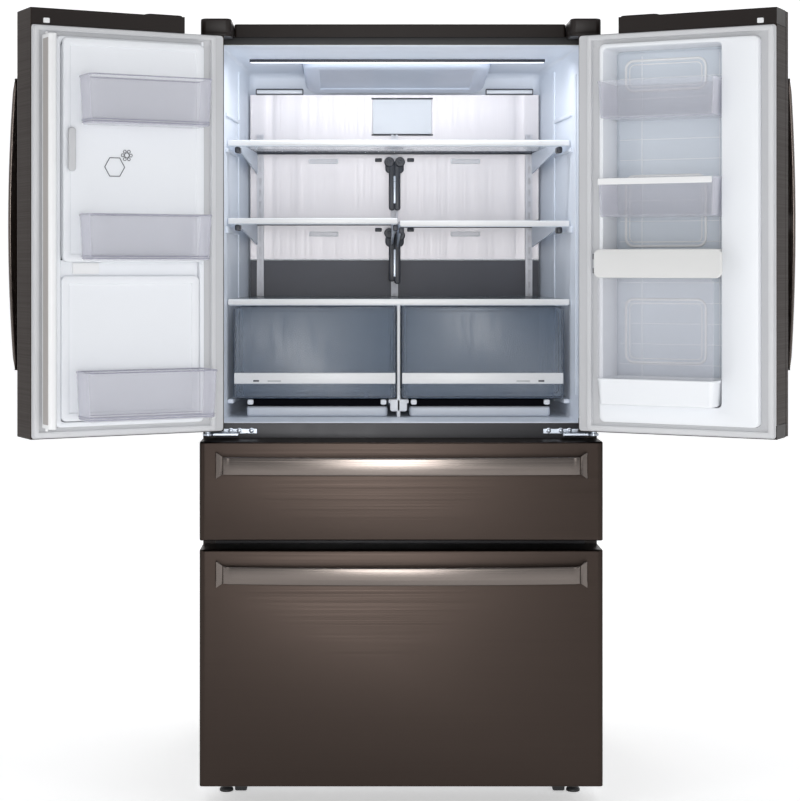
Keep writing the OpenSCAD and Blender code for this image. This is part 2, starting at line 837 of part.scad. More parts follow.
// Bridges the gap between the shut doors; it stands folded while its door is open
module mullion_flap() {
    color(plastic_grey) open_left() translate([flap_x, flap_y, 0]) rotate(90) {
        difference() {
            translate([0, 0, flap_z0]) linear_extrude(flap_z1 - flap_z0) union() {
                circle(r = flap_r, $fn = 48);
                translate([0, -flap_r]) square([flap_w - 2 * flap_r, 2 * flap_r]);
            }
            translate([0, 0, flap_z0 - 1]) cylinder(r = 3 + fit, h = 9, $fn = 48);
        }
        translate([0, 0, flap_z0 - 7]) cylinder(r = 3, h = 9, $fn = 48);
        translate([0, 0, flap_z1 - 1]) cylinder(r = 3, h = 8, $fn = 48);
    }
}

module dispenser_frame() {
    color(black) open_left() {
        difference() {
            block(chute_x0, chute_x1, front_y - 0.5, front_y + sheet + 1, chute_z0, panel_z1);
            block(chute_x0 + 12, chute_x1 - 12, front_y - 1, front_y + 10, chute_z0 + 14, chute_z1 - 6);
        }
        difference() {
            block(chute_x0, chute_x1, front_y + sheet + 1, front_y + 70, chute_z0, chute_z1);
            block(chute_x0 + 3, chute_x1 - 3, front_y, front_y + 67, chute_z0 + 3, chute_z1 - 3);
        }
        // Spout and the ears of the paddle hinge
        pin_up(-230, -75, chute_z1 - 28, chute_z1 - 3, 12);
        for (x = [-262, -204]) difference() {
            block(x, x + 6, -59, -47, chute_z1 - 22, chute_z1 - 3);
            pin_right(x - 1, x + 7, -53, chute_z1 - 14, 2.5 + fit);
        }
    }
}

module dispenser_paddle() {
    color("dimgray") open_left() {
        block(-250, -210, -55, -51, chute_z1 - 110, chute_z1 - 14);
        pin_right(-261, -199, -53, chute_z1 - 14, 2.5);
    }
}

// ---- Right door: an inner case with its own outer door ----

module case_slab(z0, z1) {
    block(door_x0, door_x1, split_y, back_y, z0, z1);
}

module knuckle_space(gap) {
    translate([hinge_x - 13 - gap, -pin_y - 14 - gap, door_z1 - top_band - cap_h - gap])
        cube([32 + 2 * gap, 28 + 2 * gap, cap_h + 2 * gap]);
}

module right_case() {
    color(plastic_white) open_right() difference() {
        union() {
            case_slab(door_z0 + cap_h, door_z1 - top_band);
            block(dyke_x0, dyke_x1 + 16, back_y, dyke_y, dyke_z0, dyke_z1);
        }
        block(case_x0, case_x1, split_y - 1, dyke_y + 1, dyke_z0 + 40, dyke_z1 - 10);
        knuckle_space(0);
    }
}

// Plates that reach over and under the outer door, with its pins
module outer_hinge(z, pin_z0, pin_z1) {
    block(door_x0, door_x0 + outer_lug_w, front_y + 3, split_y, z, z + outer_lug_t);
    pin_up(-outer_pin_x, -outer_pin_y, pin_z0, pin_z1, outer_pin_r);
}

module right_door_caps() {
    color(steel_dark) open_right() {
        difference() {
            case_slab(door_z1 - top_band, door_z1);
            hinge_pocket(door_z1 - top_band);
        }
        difference() {
            union() {
                case_slab(door_z0, door_z0 + cap_h);
                knuckle_space(0);
            }
            pin_up(hinge_x, -pin_y, door_z0 - 1, door_z1, pin_r + fit);
        }
        outer_hinge(door_z1 - top_band - outer_lug_t, outer_z1 - 12, outer_z1 + 2);
        outer_hinge(door_z0, outer_z0 - 2, outer_z0 + 12);
    }
}

module right_case_gasket() {
    color("gainsboro") open_right() seal_ring();
}

module right_baskets() {
    color(clear_blue) open_right() {
        for (z = [[912, 970], [1191, 1254], [1325, 1411], [1543, 1625]])
            tray(case_x0, case_x1, split_y + 6, basket_reach, z[0], z[1], 3);
    }
}

// The outer door leaves room for the hinge pocket and for the two plates of its own hinge
module outer_door_room(gap) {
    hinge_pocket(door_z1 - top_band - gap);
    for (z = [[outer_z1 + 0.5 - gap, door_z1], [door_z0 - 1, outer_z0 - 0.5 + gap]])
        block(door_x0 - 1, door_x0 + outer_lug_w + 4 + gap, front_y - 1, split_y, z[0], z[1]);
}

module button_hole() {
    block(button_x0 - 0.5, button_x0 + button_w + 0.5, front_y - 1, front_y + 12,
        button_z0 - 0.5, button_z0 + button_h + 0.5);
}

module outer_door_skin() {
    color(steel_dark) open_right() difference() {
        panel(door_x0, door_x1, front_y, split_y - split_gap, door_z0 + 1, door_z1 - 1);
        panel(door_x0, door_x1, front_y, split_y - split_gap, door_z0 + 1 + sheet, door_z1 - 1 - sheet, -sheet, 1);
        outer_door_room(0);
        button_hole();
    }
}

module outer_door_liner() {
    color(plastic_grey) open_right() difference() {
        panel(door_x0, door_x1, front_y, split_y - split_gap, door_z0 + 1 + sheet, door_z1 - 1 - sheet, -sheet);
        outer_door_room(sheet);
        button_hole();
        pin_up(-outer_pin_x, -outer_pin_y, outer_z0, outer_z0 + 14, outer_pin_r + fit);
        pin_up(-outer_pin_x, -outer_pin_y, outer_z1 - 14, outer_z1, outer_pin_r + fit);
    }
}

module right_door_handle() {
    color(steel_dark) open_right() door_bar();
}

module release_button() {
    color("silver") open_right() block(button_x0, button_x0 + button_w, front_y - 4, front_y + 6,
        button_z0, button_z0 + button_h);
}

// ---- Drawers ----

module drawer_front(z0, z1) {
    color(steel_dark) in_case() {
        panel_skin(-half_w, half_w, front_y, back_y, z0, z1);
        panel(-half_w, half_w, front_y, back_y, z0, z1, -sheet);
    }
    // Seal on the back of the front
    color("gainsboro") in_case() difference() {
        block(-half_w + seal_in, half_w - seal_in, back_y, -0.4, z0 + 6, z1 - 6);
        block(-half_w + seal_in + seal_w, half_w - seal_in - seal_w, back_y - 1, 0, z0 + 6 + seal_w, z1 - 6 - seal_w);
    }
}

module drawer_bin(z0, z1, rail_z) {
    color("white") in_case() {
        tray(-front_bin_x, front_bin_x, back_y, bin_d - 10, z0, z1, 3);
        both_sides() block(front_bin_x, mouth_x - rail_w - 0.5, 10, bin_d - 20, rail_z + 2, rail_z + 22);
    }
}

module drawer_bar(z1) {
    color([0.4, 0.37, 0.34]) in_case() translate([0, front_y, z1 - bar_drop]) bow_bar(bar_l, bar_sag);
}

module middle_drawer_front() {
    drawer_front(mid_front_z0, mid_front_z1);
}

module middle_drawer_bin() {
    drawer_bin(drawer_z0 + 10, drawer_z1 - 14, drawer_z0 + mid_rail_up);
}

module middle_drawer_handle() {
    drawer_bar(mid_front_z1);
}

module freezer_drawer_front() {
    drawer_front(low_front_z0, low_front_z1);
}

module freezer_drawer_bin() {
    drawer_bin(freezer_z0 + 10, tray_z0 - 0.5, freezer_z0 + low_rail_up);
}

module freezer_drawer_handle() {
    drawer_bar(low_front_z1);
}

module freezer_tray() {
    color("white") in_case() tray(-front_bin_x, front_bin_x, 40, 340, tray_z0, tray_z0 + 118, 3);
}

cabinet_shell();
back_panel();
base_pan();
cabinet_foam();
fridge_liner();
drawer_liner();
freezer_liner();
front_rails();
top_cover();
hinge_covers();
door_hinges();
toe_grille();
levelling_legs();
roller_brackets();
compressor();
condenser();
machine_cover();
evaporator();
freezer_duct_panel();
back_duct_panel();
ceiling_duct();
shelf_ladders();
shelf_frames();
shelf_glass();
drawer_slides();
front_left_roller();
front_right_roller();
rear_rollers();
condenser_fan();
evaporator_fan();
crisper_left();
crisper_right();
left_door_skin();
left_door_caps();
left_door_liner();
left_door_gasket();
left_door_handle();
left_lower_bin();
ice_maker();
ice_door();
ice_door_bins();
ice_latch();
mullion_flap();
dispenser_frame();
dispenser_paddle();
right_case();
right_door_caps();
right_case_gasket();
right_baskets();
outer_door_skin();
outer_door_liner();
right_door_handle();
release_button();
middle_drawer_front();
middle_drawer_bin();
middle_drawer_handle();
freezer_drawer_front();
freezer_drawer_bin();
freezer_drawer_handle();
freezer_tray();
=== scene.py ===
"""Detailed surfaces and finishes for a refrigerator with two doors over two drawers.

Lengths are millimetres in the case frame unless a name says otherwise: x to the right, y = 0 on the
case front and growing towards the back, z up from the floor. Door pieces are drawn shut on the left
side, and their Place turns them open and, for the right door, mirrors them.
"""

import json
import logging
import math
from dataclasses import dataclass
from enum import Enum
from typing import Callable, Sequence

import bmesh
import bpy
import numpy as np
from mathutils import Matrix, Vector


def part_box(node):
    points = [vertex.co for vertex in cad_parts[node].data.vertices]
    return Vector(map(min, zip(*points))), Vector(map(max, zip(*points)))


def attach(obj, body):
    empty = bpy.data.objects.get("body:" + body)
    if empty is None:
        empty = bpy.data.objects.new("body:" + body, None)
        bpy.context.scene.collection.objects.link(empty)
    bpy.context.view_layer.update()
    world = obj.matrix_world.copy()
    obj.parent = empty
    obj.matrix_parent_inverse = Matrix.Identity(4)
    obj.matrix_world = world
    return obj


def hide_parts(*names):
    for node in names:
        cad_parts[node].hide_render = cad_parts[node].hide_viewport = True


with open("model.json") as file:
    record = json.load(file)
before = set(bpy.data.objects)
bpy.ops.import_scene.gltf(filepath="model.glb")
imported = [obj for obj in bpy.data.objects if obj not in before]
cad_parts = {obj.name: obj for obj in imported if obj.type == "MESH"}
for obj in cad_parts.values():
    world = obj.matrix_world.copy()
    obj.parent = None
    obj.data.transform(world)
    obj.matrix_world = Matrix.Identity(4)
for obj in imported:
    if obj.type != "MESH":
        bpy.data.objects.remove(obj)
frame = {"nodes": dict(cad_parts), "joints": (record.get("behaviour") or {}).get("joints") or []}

LOG = logging.getLogger("refrigerator")
MM = 0.001
CORNER_STEPS = 5
ROUND_STEPS = 40
SHARP_ANGLE = math.radians(38)
Point = Sequence[float]


class Axis(Enum):
    """Direction in which an outline is carried: the places of its two plane axes, then its own."""

    X = (1, 2, 0)
    Y = (0, 2, 1)
    Z = (0, 1, 2)


class Grain(Enum):
    """Direction of brushing on a metal, as the stretch of its streaks along x, y and z."""

    LEVEL = (1.5, 1.5, 420.0)
    UPRIGHT = (420.0, 420.0, 1.5)


# ---- Surfaces ----


def rounded_rects(rows: np.ndarray, steps: int = CORNER_STEPS) -> np.ndarray:
    """Rounded rectangles: each corner is a quarter circle about a point one radius inside it.

    Args:
        rows: low and high of both plane axes and the corner radius of each rectangle, (k, 5).
        steps: chords in a corner.

    Returns:
        Points of the outlines, (k, 4 * (steps + 1), 2).
    """
    turn = np.linspace(0.0, math.pi / 2, steps + 1)
    angle = (turn[None, :] + np.arange(4)[:, None] * math.pi / 2).ravel()
    right = np.repeat([1.0, 0.0, 0.0, 1.0], steps + 1)
    top = np.repeat([1.0, 1.0, 0.0, 0.0], steps + 1)
    a0, a1, b0, b1, r = (rows[:, i, None] for i in range(5))
    r = np.minimum(r, np.minimum(a1 - a0, b1 - b0) / 2 - 0.01)
    centre_a = right * (a1 - r) + (1 - right) * (a0 + r)
    centre_b = top * (b1 - r) + (1 - top) * (b0 + r)
    return np.stack([centre_a + r * np.cos(angle), centre_b + r * np.sin(angle)], -1)


def quarter(edge: float, start: float, sign: float, steps: int = 3) -> list[tuple[float, float]]:
    """Quarter circle as inset and depth: it leaves the flat end at depth start and meets the side.

    Args:
        edge: radius of the rounding.
        start: depth of the flat end.
        sign: direction of growing depth, 1 or -1.
        steps: chords.

    Returns:
        Pairs of inset and depth, from the flat end to the side.
    """
    turn = np.linspace(0.0, math.pi / 2, steps + 1)
    inset, depth = edge * (1 - np.sin(turn)), start + sign * edge * (1 - np.cos(turn))
    return list(zip(inset.tolist(), depth.tolist()))


class Shell:
    """Collects the closed surfaces of one piece."""

    def __init__(self) -> None:
        """Starts empty."""
        self.points: list[np.ndarray] = []
        self.faces: list[list[int]] = []
        self.count = 0

    def add(self, points: np.ndarray, faces: list[list[int]]) -> "Shell":
        """Adds a surface.

        Args:
            points: its points, (n, 3).
            faces: point numbers of each face, counted from this surface's first point.

        Returns:
            The shell itself.
        """
        self.faces += [[i + self.count for i in face] for face in faces]
        self.points.append(points.reshape(-1, 3))
        self.count += len(self.points[-1])
        return self

    def rings(self, loops: np.ndarray, closed: bool = False) -> "Shell":
        """Skins a stack of closed loops with quads, and caps both ends or joins the last to the first.

        Args:
            loops: points of the loops, (k, m, 3).
            closed: whether the stack closes on itself.

        Returns:
            The shell itself.
        """
        k, m, _ = loops.shape
        i, j = np.meshgrid(np.arange(k if closed else k - 1), np.arange(m), indexing="ij")
        nxt, side = (i + 1) % k * m, (j + 1) % m
        quads = np.stack([i * m + j, i * m + side, nxt + side, nxt + j], -1).reshape(-1, 4).tolist()
        caps = [] if closed else [list(range(m))[::-1], list(range((k - 1) * m, k * m))]
        return self.add(loops, quads + caps)

    def loft(self, rows: np.ndarray, axis: Axis = Axis.Z, closed: bool = False,
             warp: Callable[[np.ndarray], np.ndarray] | None = None) -> "Shell":
        """Carries rounded rectangles along an axis.

        Args:
            rows: low and high of both plane axes, corner radius and depth of each outline, (k, 6).
            axis: direction of the depth.
            closed: whether the last outline joins the first, as round a frame.
            warp: bends the finished points.

        Returns:
            The shell itself.
        """
        rows = np.asarray(rows, float)
        plane = rounded_rects(rows[:, :5])
        loops = np.empty((*plane.shape[:2], 3))
        loops[..., axis.value[0]] = plane[..., 0]
        loops[..., axis.value[1]] = plane[..., 1]
        loops[..., axis.value[2]] = rows[:, 5, None]
        return self.rings(warp(loops) if warp else loops, closed)

    def steps(self, lo: Point, hi: Point, corner: float, pairs: Sequence[tuple[float, float]],
              axis: Axis = Axis.Z, closed: bool = False,
              warp: Callable[[np.ndarray], np.ndarray] | None = None) -> "Shell":
        """Carries one rounded rectangle along an axis while it draws in or out.

        Args:
            lo: low corner of the outline's box.
            hi: high corner of the outline's box.
            corner: corner radius of the outline, less as it draws in.
            pairs: inset and depth of each station.
            axis: direction of the depth.
            closed: whether the last station joins the first.
            warp: bends the finished points.

        Returns:
            The shell itself.
        """
        inset, depth = np.asarray(pairs, float).T
        a, b = axis.value[:2]
        rows = np.stack([lo[a] + inset, hi[a] - inset, lo[b] + inset, hi[b] - inset,
                         np.maximum(corner - inset, 0.5), depth], 1)
        return self.loft(rows, axis, closed, warp)

    def block(self, lo: Point, hi: Point, corner: float = 3.0, edge: float = 1.2,
              axis: Axis = Axis.Z, warp: Callable[[np.ndarray], np.ndarray] | None = None) -> "Shell":
        """Rounded block: a rounded rectangle drawn in by a quarter circle at both ends.

        Args:
            lo: low corner.
            hi: high corner.
            corner: radius of the four long edges.
            edge: radius of the end edges.
            axis: direction of the long edges.
            warp: bends the finished points.

        Returns:
            The shell itself.
        """
        d = axis.value[2]
        pairs = quarter(edge, lo[d], 1) + quarter(edge, hi[d], -1)[::-1]
        return self.steps(lo, hi, corner, pairs, axis, warp=warp)

    def tray(self, lo: Point, hi: Point, wall: float = 2.5, corner: float = 12.0, draft: float = 3.0,
             lip: float = 2.0, axis: Axis = Axis.Z, flip: bool = False) -> "Shell":
        """Open box: up the outside, round a lip and down the inside to its floor.

        Args:
            lo: low corner.
            hi: high corner.
            wall: thickness of the walls and the floor.
            corner: radius of the upright corners.
            draft: how far the floor draws in from the rim.
            lip: how far the rim stands out from the walls.
            axis: direction from the floor to the mouth.
            flip: whether the mouth is at the low end.

        Returns:
            The shell itself.
        """
        d = axis.value[2]
        floor, mouth = (hi[d], lo[d]) if flip else (lo[d], hi[d])
        up = -1.0 if flip else 1.0
        side, soft = lip, max(3.0, corner / 3)
        pairs = [(i + side + draft, z) for i, z in quarter(soft, floor, up)]
        pairs += [(side, mouth - up * (2 * lip + 2.5)), (0.3, mouth - up * (lip + 2)), (0, mouth - up * lip)]
        pairs += [(0.3 * lip, mouth - up * 0.25), (0.3 * lip + 0.8, mouth), (side + wall - 0.8, mouth)]
        pairs += [(side + wall, mouth - up * 0.8)]
        pairs += [(i + side + wall + draft, z) for i, z in quarter(soft, floor + up * wall, up)[::-1]]
        return self.steps(lo, hi, corner, pairs, axis)

    def frame(self, lo: Point, hi: Point, width: float, corner: float = 4.0, edge: float = 1.2,
              axis: Axis = Axis.Y) -> "Shell":
        """Rectangular ring of one width with rounded edges at both ends of its depth.

        Args:
            lo: low corner.
            hi: high corner.
            width: width of the ring.
            corner: outer corner radius.
            edge: radius of its long edges.
            axis: direction of the depth.

        Returns:
            The shell itself.
        """
        d = axis.value[2]
        low, high = quarter(edge, lo[d], 1), quarter(edge, hi[d], -1)
        outer = low + high[::-1]
        inner = [(width - i, z) for i, z in high] + [(width - i, z) for i, z in low[::-1]]
        return self.steps(lo, hi, corner, outer + inner, axis, closed=True)

    def bead(self, lo: Point, hi: Point, radius: float, corner: float = 10.0,
             axis: Axis = Axis.Y) -> "Shell":
        """Round wire along a rounded rectangle that lies at the low corner's depth.

        Args:
            lo: low corner of the wire's centre line.
            hi: high corner of the wire's centre line.
            radius: radius of the wire.
            corner: corner radius of the centre line.
            axis: direction across the rectangle.

        Returns:
            The shell itself.
        """
        turn = np.linspace(0.0, 2 * math.pi, 10, endpoint=False)
        pairs = np.stack([radius * np.cos(turn), lo[axis.value[2]] + radius * np.sin(turn)], 1)
        return self.steps(lo, hi, corner, pairs, axis, closed=True)

    def turned(self, centre: Point, profile: Sequence[tuple[float, float]], axis: Axis = Axis.Z,
               closed: bool = False) -> "Shell":
        """Turns a profile about an axis.

        Args:
            centre: point on the axis from which heights count.
            profile: radius and height of each station.
            axis: direction of the axis.
            closed: whether the profile is a loop, as of a ring.

        Returns:
            The shell itself.
        """
        radius, height = np.asarray(profile, float).T
        turn = np.linspace(0.0, 2 * math.pi, ROUND_STEPS, endpoint=False)
        loops = np.empty((len(radius), ROUND_STEPS, 3))
        a, b, d = axis.value
        loops[..., a] = centre[a] + radius[:, None] * np.cos(turn)
        loops[..., b] = centre[b] + radius[:, None] * np.sin(turn)
        loops[..., d] = centre[d] + height[:, None]
        return self.rings(loops, closed)

    def tube(self, path: Sequence[Point], radius: float, sides: int = 10) -> "Shell":
        """Round tube along a path: circles across its direction at each point.

        Args:
            path: points of the centre line.
            radius: radius of the tube.
            sides: corners of each circle.

        Returns:
            The shell itself.
        """
        line = np.asarray(path, float)
        along = np.gradient(line, axis=0)
        along /= np.linalg.norm(along, axis=1, keepdims=True)
        fixed = np.eye(3)[np.argmin(np.abs(along).sum(0))]
        across = np.cross(along, fixed)
        across /= np.linalg.norm(across, axis=1, keepdims=True)
        other = np.cross(along, across)
        turn = np.linspace(0.0, 2 * math.pi, sides, endpoint=False)[None, :, None]
        loops = line[:, None] + radius * (np.cos(turn) * across[:, None] + np.sin(turn) * other[:, None])
        return self.rings(loops)

    def relief(self, lo: Point, hi: Point, height: Callable[[np.ndarray, np.ndarray], np.ndarray],
               counts: tuple[int, int], axis: Axis = Axis.Y, flip: bool = False) -> "Shell":
        """Plate whose face rises over a grid and whose back is flat.

        Args:
            lo: low corner.
            hi: high corner.
            height: rise of the face at the plane coordinates.
            counts: grid points along both plane axes.
            axis: direction of the thickness.
            flip: whether the face is at the low end.

        Returns:
            The shell itself.
        """
        a, b, d = axis.value
        nu, nv = counts
        u, v = np.meshgrid(np.linspace(lo[a], hi[a], nu), np.linspace(lo[b], hi[b], nv), indexing="ij")
        face = np.empty((nu, nv, 3))
        face[..., a], face[..., b] = u, v
        face[..., d] = lo[d] - height(u, v) if flip else hi[d] + height(u, v)
        number = np.arange(nu * nv).reshape(nu, nv)
        quads = np.stack([number[:-1, :-1], number[1:, :-1], number[1:, 1:], number[:-1, 1:]], -1)
        rim = np.concatenate([number[:-1, 0], number[-1, :-1], number[:0:-1, -1], number[0, :0:-1]])
        back = face.reshape(-1, 3)[rim].copy()
        back[:, d] = hi[d] if flip else lo[d]
        under = nu * nv + np.arange(len(rim))
        walls = np.stack([rim, np.roll(rim, -1), np.roll(under, -1), under], -1)
        faces = quads.reshape(-1, 4).tolist() + walls.tolist() + [under.tolist()]
        return self.add(np.concatenate([face.reshape(-1, 3), back]), faces)

    def mirrored(self) -> "Shell":
        """Adds the mirror image in x of everything so far, and returns the shell."""
        points = np.concatenate(self.points) * (-1.0, 1.0, 1.0)
        return self.add(points, [face[::-1] for face in self.faces])


# ---- Places and pieces ----


@dataclass(frozen=True)
class Place:
    """Where pieces drawn in the case frame stand: turned about an upright pin, then mirrored or not."""

    front_m: float
    pin: tuple[float, float] = (0.0, 0.0)
    turn: float = 0.0
    mirror: bool = False

    def to_row(self, points: np.ndarray) -> np.ndarray:
        """Moves drawn points to their place.

        Args:
            points: millimetres in the case frame, (n, 3).

        Returns:
            Metres in the row frame, (n, 3).
        """
        c, s = math.cos(self.turn), math.sin(self.turn)
        x, y = points[:, 0] - self.pin[0], points[:, 1] - self.pin[1]
        out = np.stack([c * x - s * y + self.pin[0], s * x + c * y + self.pin[1], points[:, 2]], 1)
        out[:, 0] *= -1.0 if self.mirror else 1.0
        return out * MM + (0.0, self.front_m, 0.0)

    def from_row(self, points: np.ndarray) -> np.ndarray:
        """Undoes to_row.

        Args:
            points: metres in the row frame, (n, 3).

        Returns:
            Millimetres in the case frame as drawn, (n, 3).
        """
        flat = (points - (0.0, self.front_m, 0.0)) / MM
        flat[:, 0] *= -1.0 if self.mirror else 1.0
        c, s = math.cos(self.turn), -math.sin(self.turn)
        x, y = flat[:, 0] - self.pin[0], flat[:, 1] - self.pin[1]
        return np.stack([c * x - s * y + self.pin[0], s * x + c * y + self.pin[1], flat[:, 2]], 1)

    def solids(self, node: str) -> list[tuple[np.ndarray, np.ndarray]]:
        """Boxes of the separate solids of a CAD node: labels spread along edges until none changes.

        Args:
            node: name of the node.

        Returns:
            Low and high corner of each solid as drawn, lowest first.
        """
        mesh = frame["nodes"][node].data
        co = np.empty(len(mesh.vertices) * 3)
        mesh.vertices.foreach_get("co", co)
        ends = np.empty(len(mesh.edges) * 2, dtype=np.int64)
        mesh.edges.foreach_get("vertices", ends)
        co = co.reshape(-1, 3)
        _, same = np.unique(np.round(co * 1e5).astype(np.int64), axis=0, return_inverse=True)
        same = same.ravel()
        a, b = same[ends.reshape(-1, 2)].T
        label = np.arange(same.max() + 1)
        while True:
            spread = label.copy()
            np.minimum.at(spread, a, label[b])
            np.minimum.at(spread, b, label[a])
            spread = spread[spread]
            if (spread == label).all():
                break
            label = spread
        drawn, owner = self.from_row(co), label[same]
        boxes = [(drawn[owner == i].min(0), drawn[owner == i].max(0)) for i in np.unique(owner)]
        return sorted(boxes, key=lambda box: box[0][2])

    def box(self, node: str) -> tuple[np.ndarray, np.ndarray]:
        """Low and high corner of a whole CAD node as drawn."""
        boxes = self.solids(node)
        return np.min([b[0] for b in boxes], 0), np.max([b[1] for b in boxes], 0)


@dataclass(frozen=True)
class Maker:
    """Makes the pieces of one body and dresses its CAD nodes."""

    body: str
    place: Place

    def piece(self, name: str, shell: Shell, finish: "Finish", replaces: Sequence[str] = ()) -> None:
        """Puts a shell into the scene as one object at the origin that rides on the body.

        Args:
            name: name of the object.
            shell: its surfaces, as drawn.
            finish: its material and record slot.
            replaces: CAD nodes that it stands for.
        """
        mesh = bpy.data.meshes.new(name)
        mesh.from_pydata(self.place.to_row(np.concatenate(shell.points)), [], shell.faces)
        work = bmesh.new()
        work.from_mesh(mesh)
        bmesh.ops.recalc_face_normals(work, faces=work.faces)
        work.to_mesh(mesh)
        work.free()
        mesh.polygons.foreach_set("use_smooth", np.ones(len(mesh.polygons), dtype=bool))
        mesh.set_sharp_from_angle(angle=SHARP_ANGLE)
        mesh.materials.append(finish.material())
        item = bpy.data.objects.new(name, mesh)
        bpy.context.scene.collection.objects.link(item)
        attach(item, self.body)
        if replaces:
            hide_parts(*replaces)
        LOG.info("%s on %s: %d faces", name, self.body, len(mesh.polygons))

    def dress(self, finish: "Finish", *nodes: str) -> None:
        """Gives CAD nodes a finish.

        Args:
            finish: the finish.
            *nodes: names of the nodes.
        """
        for node in nodes:
            mesh = frame["nodes"][node].data
            mesh.materials.clear()
            mesh.materials.append(finish.material())
            LOG.info("%s dressed", node)


# ---- Finishes ----


class Bench:
    """Node tree of one material around a Principled shader, in object coordinates."""

    def __init__(self, name: str) -> None:
        """Starts a material.

        Args:
            name: name of the material.
        """
        self.material = bpy.data.materials.new(name)
        self.material.use_nodes = True
        self.nodes = self.material.node_tree.nodes
        self.nodes.clear()
        self.shader = self.nodes.new("ShaderNodeBsdfPrincipled")
        self.shader.name = "Principled BSDF"
        output = self.nodes.new("ShaderNodeOutputMaterial")
        self.link(self.shader.outputs["BSDF"], output.inputs["Surface"])
        self.position = self.nodes.new("ShaderNodeTexCoord").outputs["Object"]

    def link(self, out: bpy.types.NodeSocket, into: bpy.types.NodeSocket) -> None:
        """Joins two sockets."""
        self.material.node_tree.links.new(out, into)

    def set(self, values: dict[str, float]) -> None:
        """Sets constants on the shader's own sockets."""
        for name, value in values.items():
            self.shader.inputs[name].default_value = value

    def noise(self, stretch: Point, detail: float = 3.0) -> bpy.types.NodeSocket:
        """Noise over stretched coordinates.

        Args:
            stretch: cells per metre along x, y and z.
            detail: octaves.

        Returns:
            Its value socket, about 0.5 on average.
        """
        mapping = self.nodes.new("ShaderNodeMapping")
        mapping.inputs["Scale"].default_value = stretch
        self.link(self.position, mapping.inputs["Vector"])
        noise = self.nodes.new("ShaderNodeTexNoise")
        noise.inputs["Scale"].default_value = 1.0
        noise.inputs["Detail"].default_value = detail
        self.link(mapping.outputs["Vector"], noise.inputs["Vector"])
        return noise.outputs["Fac"]

    def span(self, value: bpy.types.NodeSocket, low: float, high: float, out_low: float = 0.0,
             out_high: float = 1.0) -> bpy.types.NodeSocket:
        """Maps low to high onto out_low to out_high.

        Args:
            value: what is mapped.
            low: start of the input range.
            high: end of the input range.
            out_low: result at low.
            out_high: result at high.

        Returns:
            The mapped value's socket.
        """
        node = self.nodes.new("ShaderNodeMapRange")
        for name, number in zip(("From Min", "From Max", "To Min", "To Max"), (low, high, out_low, out_high)):
            node.inputs[name].default_value = number
        self.link(value, node.inputs["Value"])
        return node.outputs["Result"]

    def blend(self, amount: bpy.types.NodeSocket, first: Point, second: Point) -> bpy.types.NodeSocket:
        """Mixes two colours.

        Args:
            amount: 0 for the first, 1 for the second.
            first: a colour.
            second: a colour.

        Returns:
            The mixed colour's socket.
        """
        node = self.nodes.new("ShaderNodeMix")
        node.data_type = "RGBA"
        node.inputs[6].default_value = (*first, 1.0)
        node.inputs[7].default_value = (*second, 1.0)
        self.link(amount, node.inputs[0])
        return node.outputs[2]

    def bump(self, height: bpy.types.NodeSocket, depth_mm: float, strength: float = 0.5) -> None:
        """Raises the surface by a height socket.

        Args:
            height: what raises it.
            depth_mm: millimetres between 0 and 1.
            strength: share of the full effect.
        """
        node = self.nodes.new("ShaderNodeBump")
        node.inputs["Strength"].default_value = strength
        node.inputs["Distance"].default_value = depth_mm * MM
        self.link(height, node.inputs["Height"])
        self.link(node.outputs["Normal"], self.shader.inputs["Normal"])


def shade(colour: Point, factor: float) -> tuple[float, ...]:
    """Colour times a factor, at most 1."""
    return tuple(min(1.0, c * factor) for c in colour)


@dataclass(frozen=True)
class Finish:
    """A surface finish: its name, the record slot it belongs to and its colour."""

    name: str
    slot: str
    colour: tuple[float, float, float]

    def material(self) -> bpy.types.Material:
        """The finish's material, made once."""
        return bpy.data.materials.get(self.name) or self.make()

    def make(self) -> bpy.types.Material:
        """Makes the material."""
        raise NotImplementedError


@dataclass(frozen=True)
class Brushed(Finish):
    """Metal with fine brushed streaks under a satin coat."""

    roughness: float = 0.34
    grain: Grain = Grain.LEVEL
    contrast: float = 0.08
    metallic: float = 1.0
    depth_mm: float = 0.05
    edge: float = 1.0

    def make(self) -> bpy.types.Material:
        """Streaks vary the colour, the roughness and a faint bump; a broad cloud varies the tone.

        Returns:
            The material.
        """
        bench = Bench(self.name)
        bench.set({"Metallic": self.metallic, "Specular IOR Level": 0.5})
        bench.shader.inputs["Specular Tint"].default_value = (self.edge, self.edge, self.edge, 1.0)
        streak = bench.noise(self.grain.value, 4.0)
        cloud = bench.noise((2.2, 2.2, 1.4), 2.0)
        tone = bench.nodes.new("ShaderNodeMath")
        tone.operation = "MULTIPLY_ADD"
        bench.link(streak, tone.inputs[0])
        tone.inputs[1].default_value = 0.7
        bench.link(bench.span(cloud, 0.0, 1.0, 0.0, 0.3), tone.inputs[2])
        colour = bench.blend(bench.span(tone.outputs[0], 0.25, 0.75), shade(self.colour, 1 - self.contrast),
                             shade(self.colour, 1 + self.contrast))
        bench.link(colour, bench.shader.inputs["Base Color"])
        rough = bench.span(streak, 0.3, 0.7, self.roughness - 0.05, self.roughness + 0.06)
        bench.link(rough, bench.shader.inputs["Roughness"])
        bench.bump(streak, self.depth_mm, 0.12)
        return bench.material


